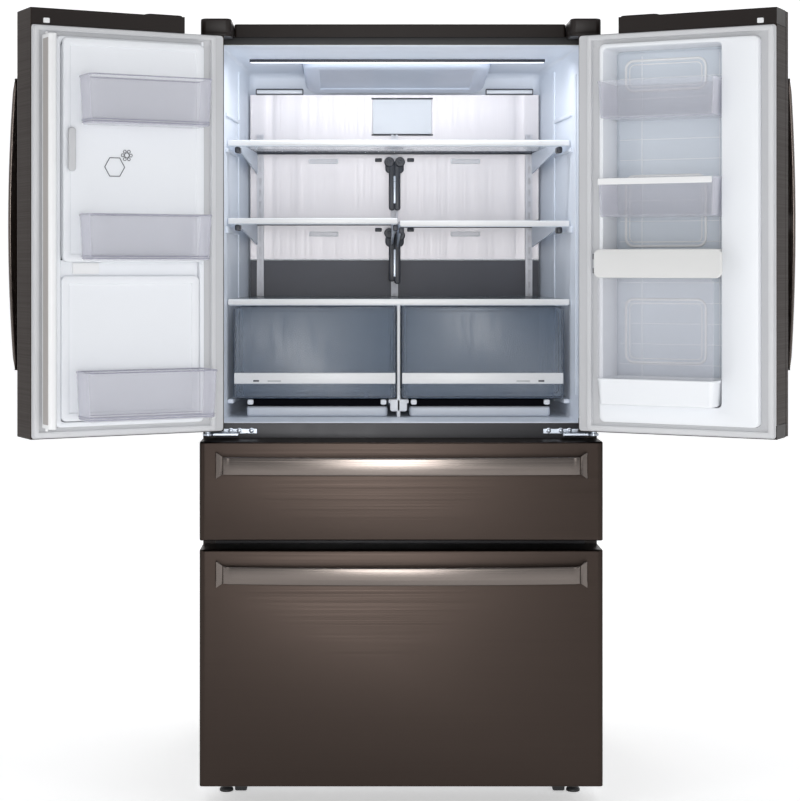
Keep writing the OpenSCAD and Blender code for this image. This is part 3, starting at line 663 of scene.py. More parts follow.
@dataclass(frozen=True)
class Moulded(Finish):
    """Plastic, rubber, enamel or foam: a fine surface texture, faint mottling and uneven gloss."""

    roughness: float = 0.35
    texture: float = 700.0
    depth_mm: float = 0.05
    mottle: float = 0.04
    metallic: float = 0.0
    specular: float = 0.45

    def make(self) -> bpy.types.Material:
        """A fine noise is the bump, a broad one the mottling and a middle one the gloss.

        Returns:
            The material.
        """
        bench = Bench(self.name)
        bench.set({"Metallic": self.metallic, "Specular IOR Level": self.specular})
        fine = bench.noise((self.texture,) * 3, 2.0)
        broad = bench.noise((4.0,) * 3, 3.0)
        middle = bench.noise((30.0,) * 3, 3.0)
        colour = bench.blend(bench.span(broad, 0.3, 0.7), shade(self.colour, 1 - self.mottle),
                             shade(self.colour, 1 + self.mottle))
        bench.link(colour, bench.shader.inputs["Base Color"])
        rough = bench.span(middle, 0.3, 0.7, self.roughness - 0.015, self.roughness + 0.02)
        bench.link(rough, bench.shader.inputs["Roughness"])
        bench.bump(fine, self.depth_mm, 0.3)
        return bench.material


@dataclass(frozen=True)
class Clear(Finish):
    """Clear plastic or glass that thickens towards its edges, with faint rubbing marks."""

    face: float = 0.14
    rim: float = 0.75
    roughness: float = 0.06

    def make(self) -> bpy.types.Material:
        """Alpha grows from face to rim as the surface turns away; a noise roughens it in patches.

        Returns:
            The material.
        """
        bench = Bench(self.name)
        bench.set({"Specular IOR Level": 0.9, "IOR": 1.49})
        facing = bench.nodes.new("ShaderNodeLayerWeight")
        facing.inputs["Blend"].default_value = 0.4
        alpha = bench.span(facing.outputs["Facing"], 0.05, 0.95, self.face, self.rim)
        bench.link(alpha, bench.shader.inputs["Alpha"])
        marks = bench.noise((60.0, 60.0, 14.0), 4.0)
        rough = bench.span(marks, 0.45, 0.8, self.roughness, self.roughness + 0.12)
        bench.link(rough, bench.shader.inputs["Roughness"])
        tone = bench.blend(bench.span(marks, 0.3, 0.7), shade(self.colour, 0.97), shade(self.colour, 1.03))
        bench.link(tone, bench.shader.inputs["Base Color"])
        return bench.material


@dataclass(frozen=True)
class Spangled(Finish):
    """Zinc-coated steel with crystal patches."""

    roughness: float = 0.42
    cells: float = 90.0

    def make(self) -> bpy.types.Material:
        """Each cell of a Voronoi pattern has its own tone and gloss.

        Returns:
            The material.
        """
        bench = Bench(self.name)
        bench.set({"Metallic": 0.85})
        cell = bench.nodes.new("ShaderNodeTexVoronoi")
        cell.inputs["Scale"].default_value = self.cells
        bench.link(bench.position, cell.inputs["Vector"])
        split = bench.nodes.new("ShaderNodeSeparateColor")
        bench.link(cell.outputs["Color"], split.inputs["Color"])
        tone = split.outputs["Red"]
        bench.link(bench.blend(tone, shade(self.colour, 0.86), shade(self.colour, 1.1)),
                   bench.shader.inputs["Base Color"])
        bench.link(bench.span(tone, 0.0, 1.0, self.roughness - 0.08, self.roughness + 0.08),
                   bench.shader.inputs["Roughness"])
        bench.bump(bench.noise((220.0,) * 3, 3.0), 0.08, 0.3)
        return bench.material


@dataclass(frozen=True)
class Lamp(Finish):
    """Lit diffuser of a row of lamps."""

    strength: float = 3.0

    def make(self) -> bpy.types.Material:
        """The row's lamps are brighter spots about 20 mm apart behind the diffuser.

        Returns:
            The material.
        """
        bench = Bench(self.name)
        bench.set({"Roughness": 0.4, "Emission Strength": self.strength})
        spots = bench.noise((50.0, 4.0, 4.0), 1.0)
        colour = bench.blend(bench.span(spots, 0.3, 0.7), shade(self.colour, 0.85), self.colour)
        bench.link(colour, bench.shader.inputs["Base Color"])
        bench.link(colour, bench.shader.inputs["Emission Color"])
        return bench.material


DARK_STEEL = Brushed("dark_steel_brushed", "dark_steel", (0.045, 0.034, 0.029), 0.33, Grain.LEVEL, 0.05,
                     edge=0.62)
DARK_SIDE = Moulded("dark_steel_textured", "dark_steel", (0.026, 0.021, 0.018), 0.42, 900.0, 0.08, 0.05, 0.25)
DARK_TOP = Moulded("dark_cover_moulded", "dark_steel", (0.012, 0.0075, 0.006), 0.42, 800.0, 0.06,
                   specular=0.3)
LEVEL_BAR = Brushed("dark_bar_level", "dark_bar", (0.165, 0.142, 0.129), 0.20, Grain.LEVEL, 0.10)
UPRIGHT_BAR = Brushed("dark_bar_upright", "dark_bar", (0.12, 0.10, 0.09), 0.22, Grain.UPRIGHT, 0.10)
ZINC = Brushed("zinc_plate", "zinc_steel", (0.46, 0.50, 0.56), 0.32, Grain.LEVEL, 0.14)
ZINC_PALE = Brushed("zinc_plate_pale", "zinc_steel", (0.58, 0.58, 0.61), 0.5, Grain.UPRIGHT, 0.05, 0.5)
SPANGLE = Spangled("galvanised_sheet", "galvanised", (0.52, 0.53, 0.54))
BLACK = Moulded("black_plastic_grained", "black_plastic", (0.018, 0.018, 0.019), 0.45, 900.0, 0.08)
GLOSS_BLACK = Moulded("black_panel_gloss", "black_plastic", (0.010, 0.010, 0.011), 0.12, 400.0, 0.01)
# Painted shadow: a near-black sheet with almost no gloss that stands for the shade in the gap under the
# crispers.
SHADOW = Moulded("painted_shadow_gap", "dark_rail", (0.004, 0.004, 0.006), 0.8, 500.0, 0.02, specular=0.05)
FOOT = Moulded("dark_rail_foot", "dark_rail", (0.105, 0.105, 0.12), 0.4, 900.0, 0.03, 0.03)
GREY = Moulded("grey_plastic_border", "grey_plastic", (0.58, 0.585, 0.60), 0.45, 900.0, 0.02, 0.012)
PALE = Moulded("pale_plastic_wall", "grey_plastic", (0.66, 0.71, 0.77), 0.38, 800.0, 0.02, 0.012)
BAND = Moulded("pale_plastic_band", "grey_plastic", (0.74, 0.74, 0.73), 0.38, 800.0, 0.04)
TAUPE = Moulded("taupe_plastic_strip", "grey_plastic", (0.40, 0.375, 0.36), 0.4, 900.0, 0.05)
WHITE = Moulded("white_plastic_satin", "white_plastic", (0.86, 0.88, 0.91), 0.38, 600.0, 0.02, 0.008)
WALL = Moulded("white_plastic_liner", "white_plastic", (0.80, 0.85, 0.93), 0.36, 600.0, 0.02, 0.008)
DUCT_BLUE = Moulded("white_plastic_duct", "white_plastic", (0.62, 0.67, 0.77), 0.36, 600.0, 0.02, 0.01)
TRIM = Moulded("white_trim_gloss", "white_plastic", (0.86, 0.865, 0.87), 0.3, 500.0, 0.01, 0.008)
RAIL = Moulded("dark_rail_satin", "dark_rail", (0.050, 0.050, 0.054), 0.38, 900.0, 0.05, 0.05, 0.3)
INK = Moulded("dark_clip_plastic", "dark_rail", (0.030, 0.034, 0.045), 0.34, 900.0, 0.05)
CLEAR = Clear("clear_plastic_bin", "clear_plastic", (0.74, 0.74, 0.82), 0.13, 0.62)
CLEAR_EDGE = Clear("clear_plastic_edge", "clear_plastic", (0.40, 0.40, 0.49), 0.55, 0.90)
SMOKE = Clear("clear_plastic_smoke", "clear_plastic", (0.16, 0.22, 0.31), 0.38, 0.85, 0.25)
SMOKE_EDGE = Clear("clear_plastic_smoke_edge", "clear_plastic", (0.07, 0.09, 0.13), 0.80, 0.95, 0.2)
GLASS = Clear("tempered_glass", "glass", (0.78, 0.83, 0.86), 0.12, 0.42, 0.05)
SEAL = Moulded("seal_rubber", "seal", (0.66, 0.665, 0.68), 0.6, 500.0, 0.05)
FOAM = Moulded("foam_cells", "foam", (0.66, 0.58, 0.36), 0.8, 240.0, 0.6, 0.12)
DUCT = Brushed("duct_panel_satin", "metal_duct", (0.62, 0.60, 0.62), 0.42, Grain.UPRIGHT, 0.04, 0.6)
ENAMEL = Moulded("black_enamel_gloss", "black_enamel", (0.014, 0.014, 0.015), 0.2, 300.0, 0.05)
FINS = Brushed("aluminium_fins", "aluminium_fin", (0.70, 0.71, 0.72), 0.35, Grain.UPRIGHT, 0.1)
LAMP = Lamp("lamp_diffuser", "white_plastic", (0.92, 0.96, 1.0), 1.6)


# ---- Cabinet ----


@dataclass(frozen=True)
class BowHandle:
    """Flat bar that bows away from a front and bends into it at both ends."""

    reach: float = 66.0
    sag: float = 22.0
    thick: float = 12.0
    corner: float = 3.5
    bend: float = 34.0

    def shell(self, lo: Point, hi: Point, axis: Axis) -> Shell:
        """Bar whose distance from the front falls with the square of the distance from its middle.

        Args:
            lo: low corner of the bar's box.
            hi: high corner of the bar's box, on the plane of the front.
            axis: direction of its length, X or Z.

        Returns:
            The bar.
        """
        d = axis.value[2]
        across = 2 if axis is Axis.X else 0
        middle, half = (lo[d] + hi[d]) / 2, (hi[d] - lo[d]) / 2
        share = np.concatenate([[-1.0, -0.9985], np.linspace(-0.996, 0.996, 121), [0.9985, 1.0]])
        shrink = np.concatenate([[2.5, 0.8], np.zeros(121), [0.8, 2.5]])
        near = hi[1] - self.reach + self.sag * share ** 2
        fall = np.clip((np.abs(share) * half - half + self.bend) / self.bend, 0, 1)
        lean = (self.reach - self.sag - self.thick) * fall ** 2 * (1.5 - 0.5 * fall)
        width = (np.full_like(share, lo[across]) + shrink, np.full_like(share, hi[across]) - shrink)
        depth = (near + shrink + lean, near + self.thick - shrink)
        first, second = (depth, width) if axis is Axis.X else (width, depth)
        rows = np.stack([*first, *second, np.full_like(share, self.corner), middle + half * share], 1)
        return Shell().loft(rows, axis)


@dataclass(frozen=True)
class Casing:
    """Outer sheet, covers, hinges, back, rails and everything under the cabinet."""

    maker: Maker
    bend: float = 7.0
    sheet: float = 2.0

    def build(self) -> None:
        """Builds every part of the casing."""
        self.wrapper()
        self.top()
        self.hinges()
        self.back()
        self.rails()
        self.underside()
        self.maker.dress(FOAM, "cabinet_foam")
        self.maker.dress(SPANGLE, "base_pan")

    def wrapper(self) -> None:
        """Sheet up one side, over the top and down the other, with bent corners and a rolled front edge."""
        lo, hi = self.maker.place.box("cabinet_shell")
        turn = np.linspace(0.0, math.pi / 2, 7)

        def arch(inset: float) -> np.ndarray:
            """Outline of the sheet at an inset from its outside, from the left foot to the right one.

            Args:
                inset: distance in from the outside.

            Returns:
                Points in x and z, (n, 2).
            """
            r, half, top = self.bend - inset, hi[0] - inset, hi[2] - inset
            left = np.stack([-half + r - r * np.cos(turn), top - r + r * np.sin(turn)], 1)
            right = left[::-1] * (-1.0, 1.0)
            return np.concatenate([[[-half, lo[2]]], left, right, [[half, lo[2]]]])

        inner = arch(self.sheet)[::-1]
        loops = []
        for inset, y in [(1.4, 0.1), (0.5, 0.5), (0.0, 1.5), (0.0, hi[1] - 0.2)]:
            outline = np.concatenate([arch(inset), inner])
            loops.append(np.insert(outline, 1, y, axis=1))
        self.maker.piece("cabinet_wrapper", Shell().rings(np.stack(loops)), DARK_SIDE, ["cabinet_shell"])
        liner = self.maker.place.box("fridge_liner")
        side = Shell().block((lo[0] + 2, 0.2, lo[2] + 2), (liner[0][0] - 0.2, 2, hi[2] - 3), 1, 0.4)
        self.maker.piece("front_side_flanges", side.mirrored(), DARK_SIDE)
        strip = Shell().block((liner[0][0], 0.1, liner[1][2] + 0.3), (liner[1][0], 2, hi[2] - 0.4), 1, 0.4)
        self.maker.piece("front_top_flange", strip, BLACK)

    def top(self) -> None:
        """Front cover on top, with a shallow panel line and three screws."""
        lo, hi = self.maker.place.box("top_cover")
        pairs = [(0, lo[2]), (0, hi[2] - 3)] + quarter(3, hi[2], -1)[::-1]
        pairs += [(12, hi[2]), (13, hi[2] - 1), (14, hi[2] - 1)]
        shell = Shell().steps(lo, hi, 6.0, pairs)
        self.maker.piece("top_front_cover", shell, DARK_TOP, ["top_cover"])
        screws = Shell()
        for x in (-300.0, 0.0, 300.0):
            screws.turned((x, 90.0, hi[2] - 1), [(5, 0), (5, 0.6), (4, 0.9), (2.0, 0.9), (1.6, 0.3)])
        self.maker.piece("top_cover_screws", screws, ZINC)

    def hinges(self) -> None:
        """Covers over the upper hinges, with a rounded nose over each pin, and bolts on the lower ones."""
        lo, hi = self.maker.place.solids("hinge_covers")[0]
        if lo[0] > 0:
            lo, hi = lo * (-1, 1, 1), hi * (-1, 1, 1)
            lo[0], hi[0] = hi[0], lo[0]
        case_top = self.maker.place.box("cabinet_shell")[1][2]
        pairs = [(0.6, case_top + 0.2), (0, case_top + 1), (0, hi[2] - 4)] + quarter(4, hi[2], -1)[::-1]
        shell = Shell().steps(lo, hi, 14.0, pairs)
        shell.block(lo, (hi[0], -2.0, case_top + 1), 14.0, 1.0)
        shell.turned(((lo[0] + hi[0]) / 2, 85.0, hi[2] - 0.4), [(7, 0), (7, 0.35), (3.5, 0.35), (3, 0.1)])
        self.maker.piece("hinge_covers_rounded", shell.mirrored(), DARK_TOP, ["hinge_covers"])
        self.maker.dress(ZINC, "door_hinges")
        bolts = Shell()
        rail = self.maker.place.solids("front_rails")[-1]
        level = rail[1][2] - 16.5
        for x in (-390.0, -370.0, -342.0):
            bolts.turned((x, -4.0, level),
                         [(6, 0), (6, -1.2), (4.6, -1.4), (4.6, -4.2), (3.8, -4.8), (1.5, -4.8)], Axis.Y)
        self.maker.piece("lower_hinge_bolts", bolts.mirrored(), ZINC)

    def back(self) -> None:
        """Back sheet with pressed stiffening beads and screws, and the cover of the machine room."""
        lo, hi = self.maker.place.box("back_panel")

        def beads(x: np.ndarray, z: np.ndarray) -> np.ndarray:
            """Depth of the pressed beads, two across each panel and one upright at each side.

            Args:
                x: places across.
                z: heights.

            Returns:
                Depth of the sheet, below zero in a bead.
            """
            across = np.abs((z - lo[2] - 60) % 340 - 170)
            upright = np.abs(np.abs(x) - 250)
            bead = np.maximum(np.clip(1 - np.abs(across - 60) / 12, 0, 1) * (np.abs(x) < 400),
                              np.clip(1 - upright / 10, 0, 1) * (np.abs(z - (lo[2] + hi[2]) / 2) < 640))
            return -1.2 * np.sin(bead * math.pi / 2) ** 2

        shell = Shell().relief(lo, hi, beads, (182, 220))
        self.maker.piece("back_sheet", shell, SPANGLE, ["back_panel"])
        self.maker.dress(SPANGLE, "machine_cover")
        screws = Shell()
        cover = self.maker.place.box("machine_cover")
        for x in np.linspace(-430, 430, 7):
            for z in (cover[0][2] + 12, cover[1][2] - 12):
                screws.turned((x, hi[1] - 0.5, z), [(6, 0), (5.5, 0.35), (2.4, 0.4), (2, 0.1)], Axis.Y)
        self.maker.piece("machine_cover_screws", screws, ZINC)

    def rails(self) -> None:
        """Rails across the front between the openings, with softened edges."""
        shell = Shell()
        for lo, hi in self.maker.place.solids("front_rails"):
            shell.block(lo, hi, 1.5, 0.5, Axis.Y)
        self.maker.piece("front_cross_rails", shell, RAIL, ["front_rails"])

    def underside(self) -> None:
        """Screw-in feet with bell pads, the toe grille and the roller brackets."""
        self.maker.dress(BLACK, "toe_grille")
        self.maker.dress(ZINC, "roller_brackets")
        shell = Shell()
        lo, hi = self.maker.place.solids("levelling_legs")[0]
        x, y = (lo[0] + hi[0]) / 2, (lo[1] + hi[1]) / 2
        thread = [(5.6 + 0.4 * (i % 2), 14 + 1.2 * i) for i in range(26)]
        pad = [(14.5, 0), (16, 1), (16, 5), (14, 8), (9, 10), (9, 13)]
        for side in (x, -x):
            shell.turned((side, y, 0.0), pad + thread)
        self.maker.piece("screw_feet", shell, BLACK, ["levelling_legs"])
        base = self.maker.place.box("base_pan")[0][2]
        guide = Shell().block((-382, 22, 1.5), (-354, 40, base - 0.5), 4, 2, Axis.Y)
        guide.block((-374, 19, 14), (-362, 24, 26), 5, 1, Axis.Y)
        self.maker.piece("front_roller_guides", guide.mirrored(), BLACK)


@dataclass(frozen=True)
class Rollers:
    """Rollers under the cabinet: two at the front and a pair on one axle at the back."""

    place: Place
    radius: float = 18.0
    bore: float = 4.06

    def roller(self, lo: Point, hi: Point) -> list[tuple[float, float]]:
        """Loop of a wheel's section: tread with two grooves, hollow cheeks and a hub.

        Args:
            lo: low corner of the wheel.
            hi: high corner of the wheel.

        Returns:
            Radius and distance along the axle.
        """
        w, r = hi[0] - lo[0], self.radius
        half = [(r - 1.5, 0), (r, 1.5), (r, w * 0.3), (r - 0.8, w * 0.35), (r, w * 0.4)]
        tread = half + [(a, w - b) for a, b in half[::-1]]
        cheek = [(r - 4, w), (r - 5, w - 3), (8, w - 3), (7, w), (self.bore, w)]
        return tread + cheek + [(a, w - b) for a, b in cheek[::-1]]

    def build(self) -> None:
        """Builds the wheels of each body."""
        for name in ("front_left_roller", "front_right_roller"):
            lo, hi = self.place.box(name)
            shell = Shell().turned((lo[0], (lo[1] + hi[1]) / 2, self.radius), self.roller(lo, hi), Axis.X,
                                   True)
            Maker(name, self.place).piece(name + "_wheel", shell, BLACK, [name])
        lo, hi = self.place.box("rear_rollers")
        centre, width = ((lo[1] + hi[1]) / 2, self.radius), 14.0
        shell = Shell()
        for x in (lo[0] + 6, hi[0] - 6 - width):
            shell.turned((x, *centre), self.roller((x,), (x + width,)), Axis.X, True)
        shell.turned((0, *centre), [(3.2, lo[0]), (3.95, lo[0] + 0.8), (3.95, hi[0] - 0.8), (3.2, hi[0])],
                     Axis.X)
        Maker("rear_rollers", self.place).piece("rear_roller_axle", shell, BLACK, ["rear_rollers"])


@dataclass(frozen=True)
class ColdRoom:
    """Refrigerator compartment: liner, ducts, lamps, uprights and shelves."""

    maker: Maker
    draft: float = 34.0
    trim: float = 14.0

    def build(self) -> None:
        """Builds the compartment from its liner to its shelves."""
        self.liner()
        self.walls()
        self.back_duct()
        self.ceiling()
        self.uprights()
        self.shelves()
        self.floor()

    def half(self, y: float | np.ndarray) -> float | np.ndarray:
        """Half width of the compartment at a depth: it narrows evenly towards the back."""
        return self.mouth[1][0] - self.draft * y / self.deep

    @property
    def mouth(self) -> tuple[np.ndarray, np.ndarray]:
        """Low and high corner of the opening."""
        lo, hi = self.maker.place.box("fridge_liner")
        return np.array([lo[0] + 12, 0.0, lo[2] + 3]), np.array([hi[0] - 12, 0.0, hi[2] - 3])

    @property
    def deep(self) -> float:
        """Depth of the compartment."""
        return self.maker.place.box("fridge_liner")[1][1] - 3

    def liner(self) -> None:
        """Liner as one shell: outside, front flange, rolled lip, walls with soft corners, back."""
        lo, hi = self.mouth
        flange = self.maker.place.box("fridge_liner")
        turn = np.linspace(0, math.pi / 2, 5)[1:]
        rows = [(-self.half(self.deep) - 3, self.half(self.deep) + 3, lo[2] - 3, hi[2] + 3, 12,
                 self.deep + 3),
                (lo[0] - 3, hi[0] + 3, lo[2] - 3, hi[2] + 3, 12, 2),
                (flange[0][0], flange[1][0], lo[2] - 3, hi[2] + 3, 2, 2),
                (flange[0][0] + 0.4, flange[1][0] - 0.4, lo[2] - 2.6, hi[2] + 2.6, 2, 0.1),
                (lo[0] - 5, hi[0] + 5, lo[2] - 2.2, hi[2] + 2.2, 6, 0.1)]
        rows += [(lo[0] - 5 * (1 - math.sin(t)), hi[0] + 5 * (1 - math.sin(t)),
                  lo[2] - 2.2 * (1 - math.sin(t)),
                  hi[2] + 2.2 * (1 - math.sin(t)), 6, 0.1 + 5 * (1 - math.cos(t))) for t in turn]
        back = 16.0
        for t in np.linspace(0, math.pi / 2, 5):
            y = self.deep - back + back * math.sin(t)
            pull = back * (1 - math.cos(t))
            rows.append((-self.half(y) + pull, self.half(y) - pull, lo[2] + pull, hi[2] - pull, 14, y))
        self.maker.piece("cold_room_liner", Shell().loft(rows, Axis.Y), WALL, ["fridge_liner"])

    def walls(self) -> None:
        """Moulded side details: crisper ledges, shelf ledges, two uprights and a row of dimples."""
        lo, hi = self.mouth
        ledges = Shell()

        def lean(points: np.ndarray) -> np.ndarray:
            """Moves points inwards with the wall, which narrows towards the back."""
            points[..., 0] += self.half(points[..., 1]) - self.half(0)
            return points

        crisper = self.maker.place.box("crisper_right")
        wall = hi[0]
        ledges.block((wall - 14, 132, crisper[0][2] - 11), (wall, crisper[1][1] + 6, crisper[0][2] - 1), 2, 2,
                     Axis.Y, lean)
        shelf_levels = [box[1][2] for box in self.maker.place.solids("shelf_glass")]
        for z in sorted({round(level) for level in shelf_levels})[1:] + [1600.0]:
            ledges.block((wall - 5, 96, z - 30), (wall + 0.5, 330, z - 20), 2.4, 2, Axis.Y, lean)
        ledges.block((wall - 3, 344, lo[2] + 24), (wall + 0.5, 372, hi[2] - 24), 3, 1.5, Axis.Z, lean)
        ledges.block((wall - 3, 40, lo[2] + 60), (wall + 0.5, 62, hi[2] - 60), 3, 1.5, Axis.Z, lean)
        self.maker.piece("side_wall_ledges", ledges.mirrored(), WALL)
        dimples = Shell()
        for z in np.linspace(990, 1095, 7):
            dimples.turned((wall - 1.6, 24.0, z), [(1.8, 0), (1.8, -0.6), (0.9, -0.9)], Axis.X)
        self.maker.piece("side_wall_marks", dimples, PALE)

    def back_duct(self) -> None:
        """Satin metal panel over the back duct: dark foot, vents, clips, top slots and a filter cover."""
        lo, hi = self.maker.place.box("back_duct_panel")

        def flutes(x: np.ndarray, _z: np.ndarray) -> np.ndarray:
            """Raised side margins with a groove beside each."""
            return 0.8 * np.clip(np.abs(x) - 330, 0, 6) / 6 - 0.5 * np.exp(-((np.abs(x) - 318) / 3) ** 2)

        split = 1236.0
        shell = Shell().relief((lo[0], lo[1] + 1, split), hi, flutes, (160, 8), Axis.Y, True)
        self.maker.piece("back_duct_face", shell, DUCT, ["back_duct_panel"])
        foot = Shell().block((lo[0], lo[1] + 0.5, lo[2]), (hi[0], hi[1], split - 4), 3, 1, Axis.Y)
        self.maker.piece("back_duct_foot", foot, FOOT)
        line = Shell().block((lo[0], lo[1] - 1, split - 4), (hi[0], lo[1] + 4, split), 1.5, 1, Axis.X)
        self.maker.piece("back_duct_seam", line, TRIM)
        vents, clips = Shell(), Shell()
        for x in (-185.0, 185.0):
            for z in (1300.0, 1490.0):
                vents.frame((x - 38, lo[1] - 2.5, z - 5), (x + 38, lo[1] + 1.5, z + 7), 2.2, 3, 0.8)
                for dz in (-1.0, 2.5):
                    vents.block((x - 36, lo[1] - 1.2, z + dz - 0.7), (x + 36, lo[1] + 1.5, z + dz + 0.7),
                                0.5, 0.4, Axis.X)
        for x in (-42.0, 42.0):
            for z in (1312.0, 1494.0):
                clips.block((x - 9, lo[1] - 3, z - 5), (x + 9, lo[1] + 1, z + 5), 2.5, 1, Axis.Y)
                clips.block((x - 5, lo[1] - 4, z - 2), (x + 5, lo[1] - 2, z + 2), 1.5, 0.6, Axis.Y)
        self.maker.piece("back_vents", vents, WHITE)
        self.maker.piece("back_clips", clips, INK)
        slots, bars = Shell(), Shell()
        for x in (-300.0, 300.0):
            slots.frame((x - 62, lo[1] - 3, 1664), (x + 62, lo[1] + 6, 1680), 2.2, 3, 0.8)
            bars.block((x - 60, lo[1] - 1, 1667), (x + 60, lo[1] + 8, 1677), 2, 1, Axis.X)
        self.maker.piece("back_top_slots", slots, INK)
        self.maker.piece("back_top_slot_bars", bars, WHITE)
        cover = Shell().block((-57, lo[1] - 7, 1562), (97, lo[1], 1652), 5, 1.5, Axis.Y)
        self.maker.piece("filter_cover", cover, WHITE)
        edge = Shell()
        for z in (1558.0, 1652.5):
            edge.block((-60, lo[1] - 5, z), (100, lo[1] + 0.5, z + 3.5), 1.2, 0.8, Axis.X)
        self.maker.piece("filter_cover_gaps", edge, INK)

    def ceiling(self) -> None:
        """Rounded duct under the ceiling that deepens towards the back, the lamp strip and its dark slot."""
        boxes = self.maker.place.solids("ceiling_duct")
        duct, lamp = sorted(boxes, key=lambda box: box[0][0] - box[1][0])[::-1]
        lo, hi = duct
        front = 14.0

        def deepen(points: np.ndarray) -> np.ndarray:
            """Stretches the duct downwards, more towards the back.

            Args:
                points: points of the duct at its front depth.

            Returns:
                The same points, moved.
            """
            share = (points[..., 1] - lo[1]) / (hi[1] - lo[1])
            down = (hi[2] - points[..., 2]) * (1 + ((hi[2] - lo[2]) / front - 1) * share)
            points[..., 2] = hi[2] - down
            return points

        pairs = [(0, hi[2]), (2, hi[2] - 3)] + [(i + 4, z) for i, z in quarter(12, hi[2] - front, 1)[::-1]]
        pairs += [(44, hi[2] - front + 0.3), (46, hi[2] - front + 1.2)]
        shell = Shell().steps(lo, hi, 46.0, pairs, warp=deepen)
        self.maker.piece("ceiling_air_duct", shell, DUCT_BLUE, ["ceiling_duct"])
        strip = Shell().block(lamp[0] + (0, 1, 0), lamp[1] - (0, 1, 0), 3, 1.5, Axis.X)
        self.maker.piece("ceiling_lamp_strip", strip, LAMP)
        slot = Shell().block((lamp[0][0] - 2, lamp[0][1] - 3.5, lamp[0][2] + 1),
                             (lamp[1][0] + 2, lamp[0][1] + 0.5, lamp[1][2]), 1, 0.5, Axis.X)
        self.maker.piece("ceiling_lamp_slot", slot, INK)

    def uprights(self) -> None:
        """Slotted shelf uprights, with dark hooks where the shelves hang."""
        self.maker.dress(ZINC_PALE, "shelf_ladders")
        hooks, spines = Shell(), Shell()
        panes = self.maker.place.solids("shelf_glass")
        back = panes[0][1][1]
        for lo, hi in panes[1:]:
            z = hi[2] - self.trim
            for x in (-14.0, 14.0):
                if lo[0] < x < hi[0]:
                    hooks.turned((x, back - 3, z - 14),
                                 [(13, 10), (13, 0), (11, -2.5), (5, -2.5), (4, -1)], Axis.Y)
                    hooks.block((x - 8 - x / 2, back - 2, z - 140), (x + 8 - x / 2, back + 7, z - 10), 7,
                                2.5, Axis.Y)
            if lo[0] * hi[0] < 0 or hi[0] > 300:
                hooks.block((-24, back - 1, z - 44), (24, back + 7, z - 12), 12, 2.5, Axis.Y)
                spines.block((-3, back - 3.4, z - 122), (3, back - 0.5, z - 50), 2.5, 0.8, Axis.Y)
        self.maker.piece("shelf_hooks", hooks, INK)
        self.maker.piece("shelf_hook_spines", spines, ZINC)

    def shelves(self) -> None:
        """Glass panes in white front trims and dark back rails, on sloping side arms."""

        def follow(points: np.ndarray) -> np.ndarray:
            """Draws the ends that meet a side wall in with it.

            Args:
                points: points of a pane, trim, rail or arm.

            Returns:
                The same points, moved.
            """
            far = np.abs(points[..., 0]) > 300
            narrowing = self.half(points[..., 1]) - self.half(118)
            points[..., 0] += np.where(far, np.sign(points[..., 0]) * narrowing, 0)
            return points

        panes, trims, rails, arms, seams, tips = (Shell() for _ in range(6))
        solids = self.maker.place.solids("shelf_glass")
        cover = solids[0][1][2]
        for lo, hi in solids:
            z, front, back = hi[2], lo[1] - 10, hi[1] + 8
            left = -self.half(front) + 3 if lo[0] < -300 else lo[0]
            right = self.half(front) - 3 if hi[0] > 300 else hi[0]
            panes.block((left + 0.5, lo[1] + 0.3, lo[2] + 0.1), (right - 0.5, hi[1] - 0.3, z), 3, 1,
                        warp=follow)
            trims.block((left, front, z - self.trim), (right, lo[1] + 1, z), 4, 1.5, Axis.X, follow)
            seams.block((left + 3, front + 0.6, z - self.trim - 1.2),
                        (right - 3, lo[1], z - self.trim + 1), 1, 0.5, Axis.X, follow)
            rails.block((left + 1, hi[1] - 0.5, z - 8), (right - 1, back, z), 3, 1, Axis.X, follow)
            if z == cover:
                continue
            for x in (left + 20, right - 20) if right - left > 500 else (
                    (left + 20, right - 4) if left < -300 else (left + 4, right - 20)):
                y = np.array([lo[1], lo[1], back, back])
                level = np.array([z - 5, z - self.trim, z - 58, z - 5])
                outline = np.stack([y, level], 1)
                side = np.stack([np.insert(outline, 0, x + dx, axis=1) for dx in (-1.8, 1.8)])
                arms.rings(follow(side))
                tips.block((x - 6, lo[1] + 6, z - 30), (x + 6, lo[1] + 40, z - self.trim - 1), 4, 2,
                           Axis.Y, follow)
        self.maker.piece("shelf_panes", panes, GLASS, ["shelf_glass"])
        self.maker.piece("shelf_trims", trims, TRIM, ["shelf_frames"])
        self.maker.piece("shelf_trim_seams", seams, PALE)
        self.maker.piece("shelf_back_rails", rails, INK)
        self.maker.piece("shelf_arm_tips", tips, INK)
        self.maker.piece("shelf_arms", arms, WALL)
        lo, hi = self.mouth
        crisper = self.maker.place.box("crisper_right")
        top = cover - self.trim
        divider = Shell().block((-4, 131, lo[2]), (4, crisper[1][1] + 6, top), 2, 2, Axis.Y)
        divider.block((-24, 134, crisper[0][2] - 11), (24, crisper[1][1] + 6, crisper[0][2] - 1.4), 3, 2,
                      Axis.Y)
        divider.block((-20, 131, lo[2] + 14), (20, 148, crisper[0][2] - 1.4), 5, 2, Axis.Y)
        self.maker.piece("crisper_divider", divider, WHITE)

    def floor(self) -> None:
        """Plinth, a near-black painted shadow sheet and white feet under each crisper."""
        lo, _ = self.mouth
        crisper = self.maker.place.box("crisper_right")
        level = crisper[0][2]
        plinth = Shell().block((26, 152, lo[2] + 0.3), (362, crisper[1][1], level - 19), 8, 6)
        self.maker.piece("under_crisper_plinth", plinth.mirrored(), WALL)
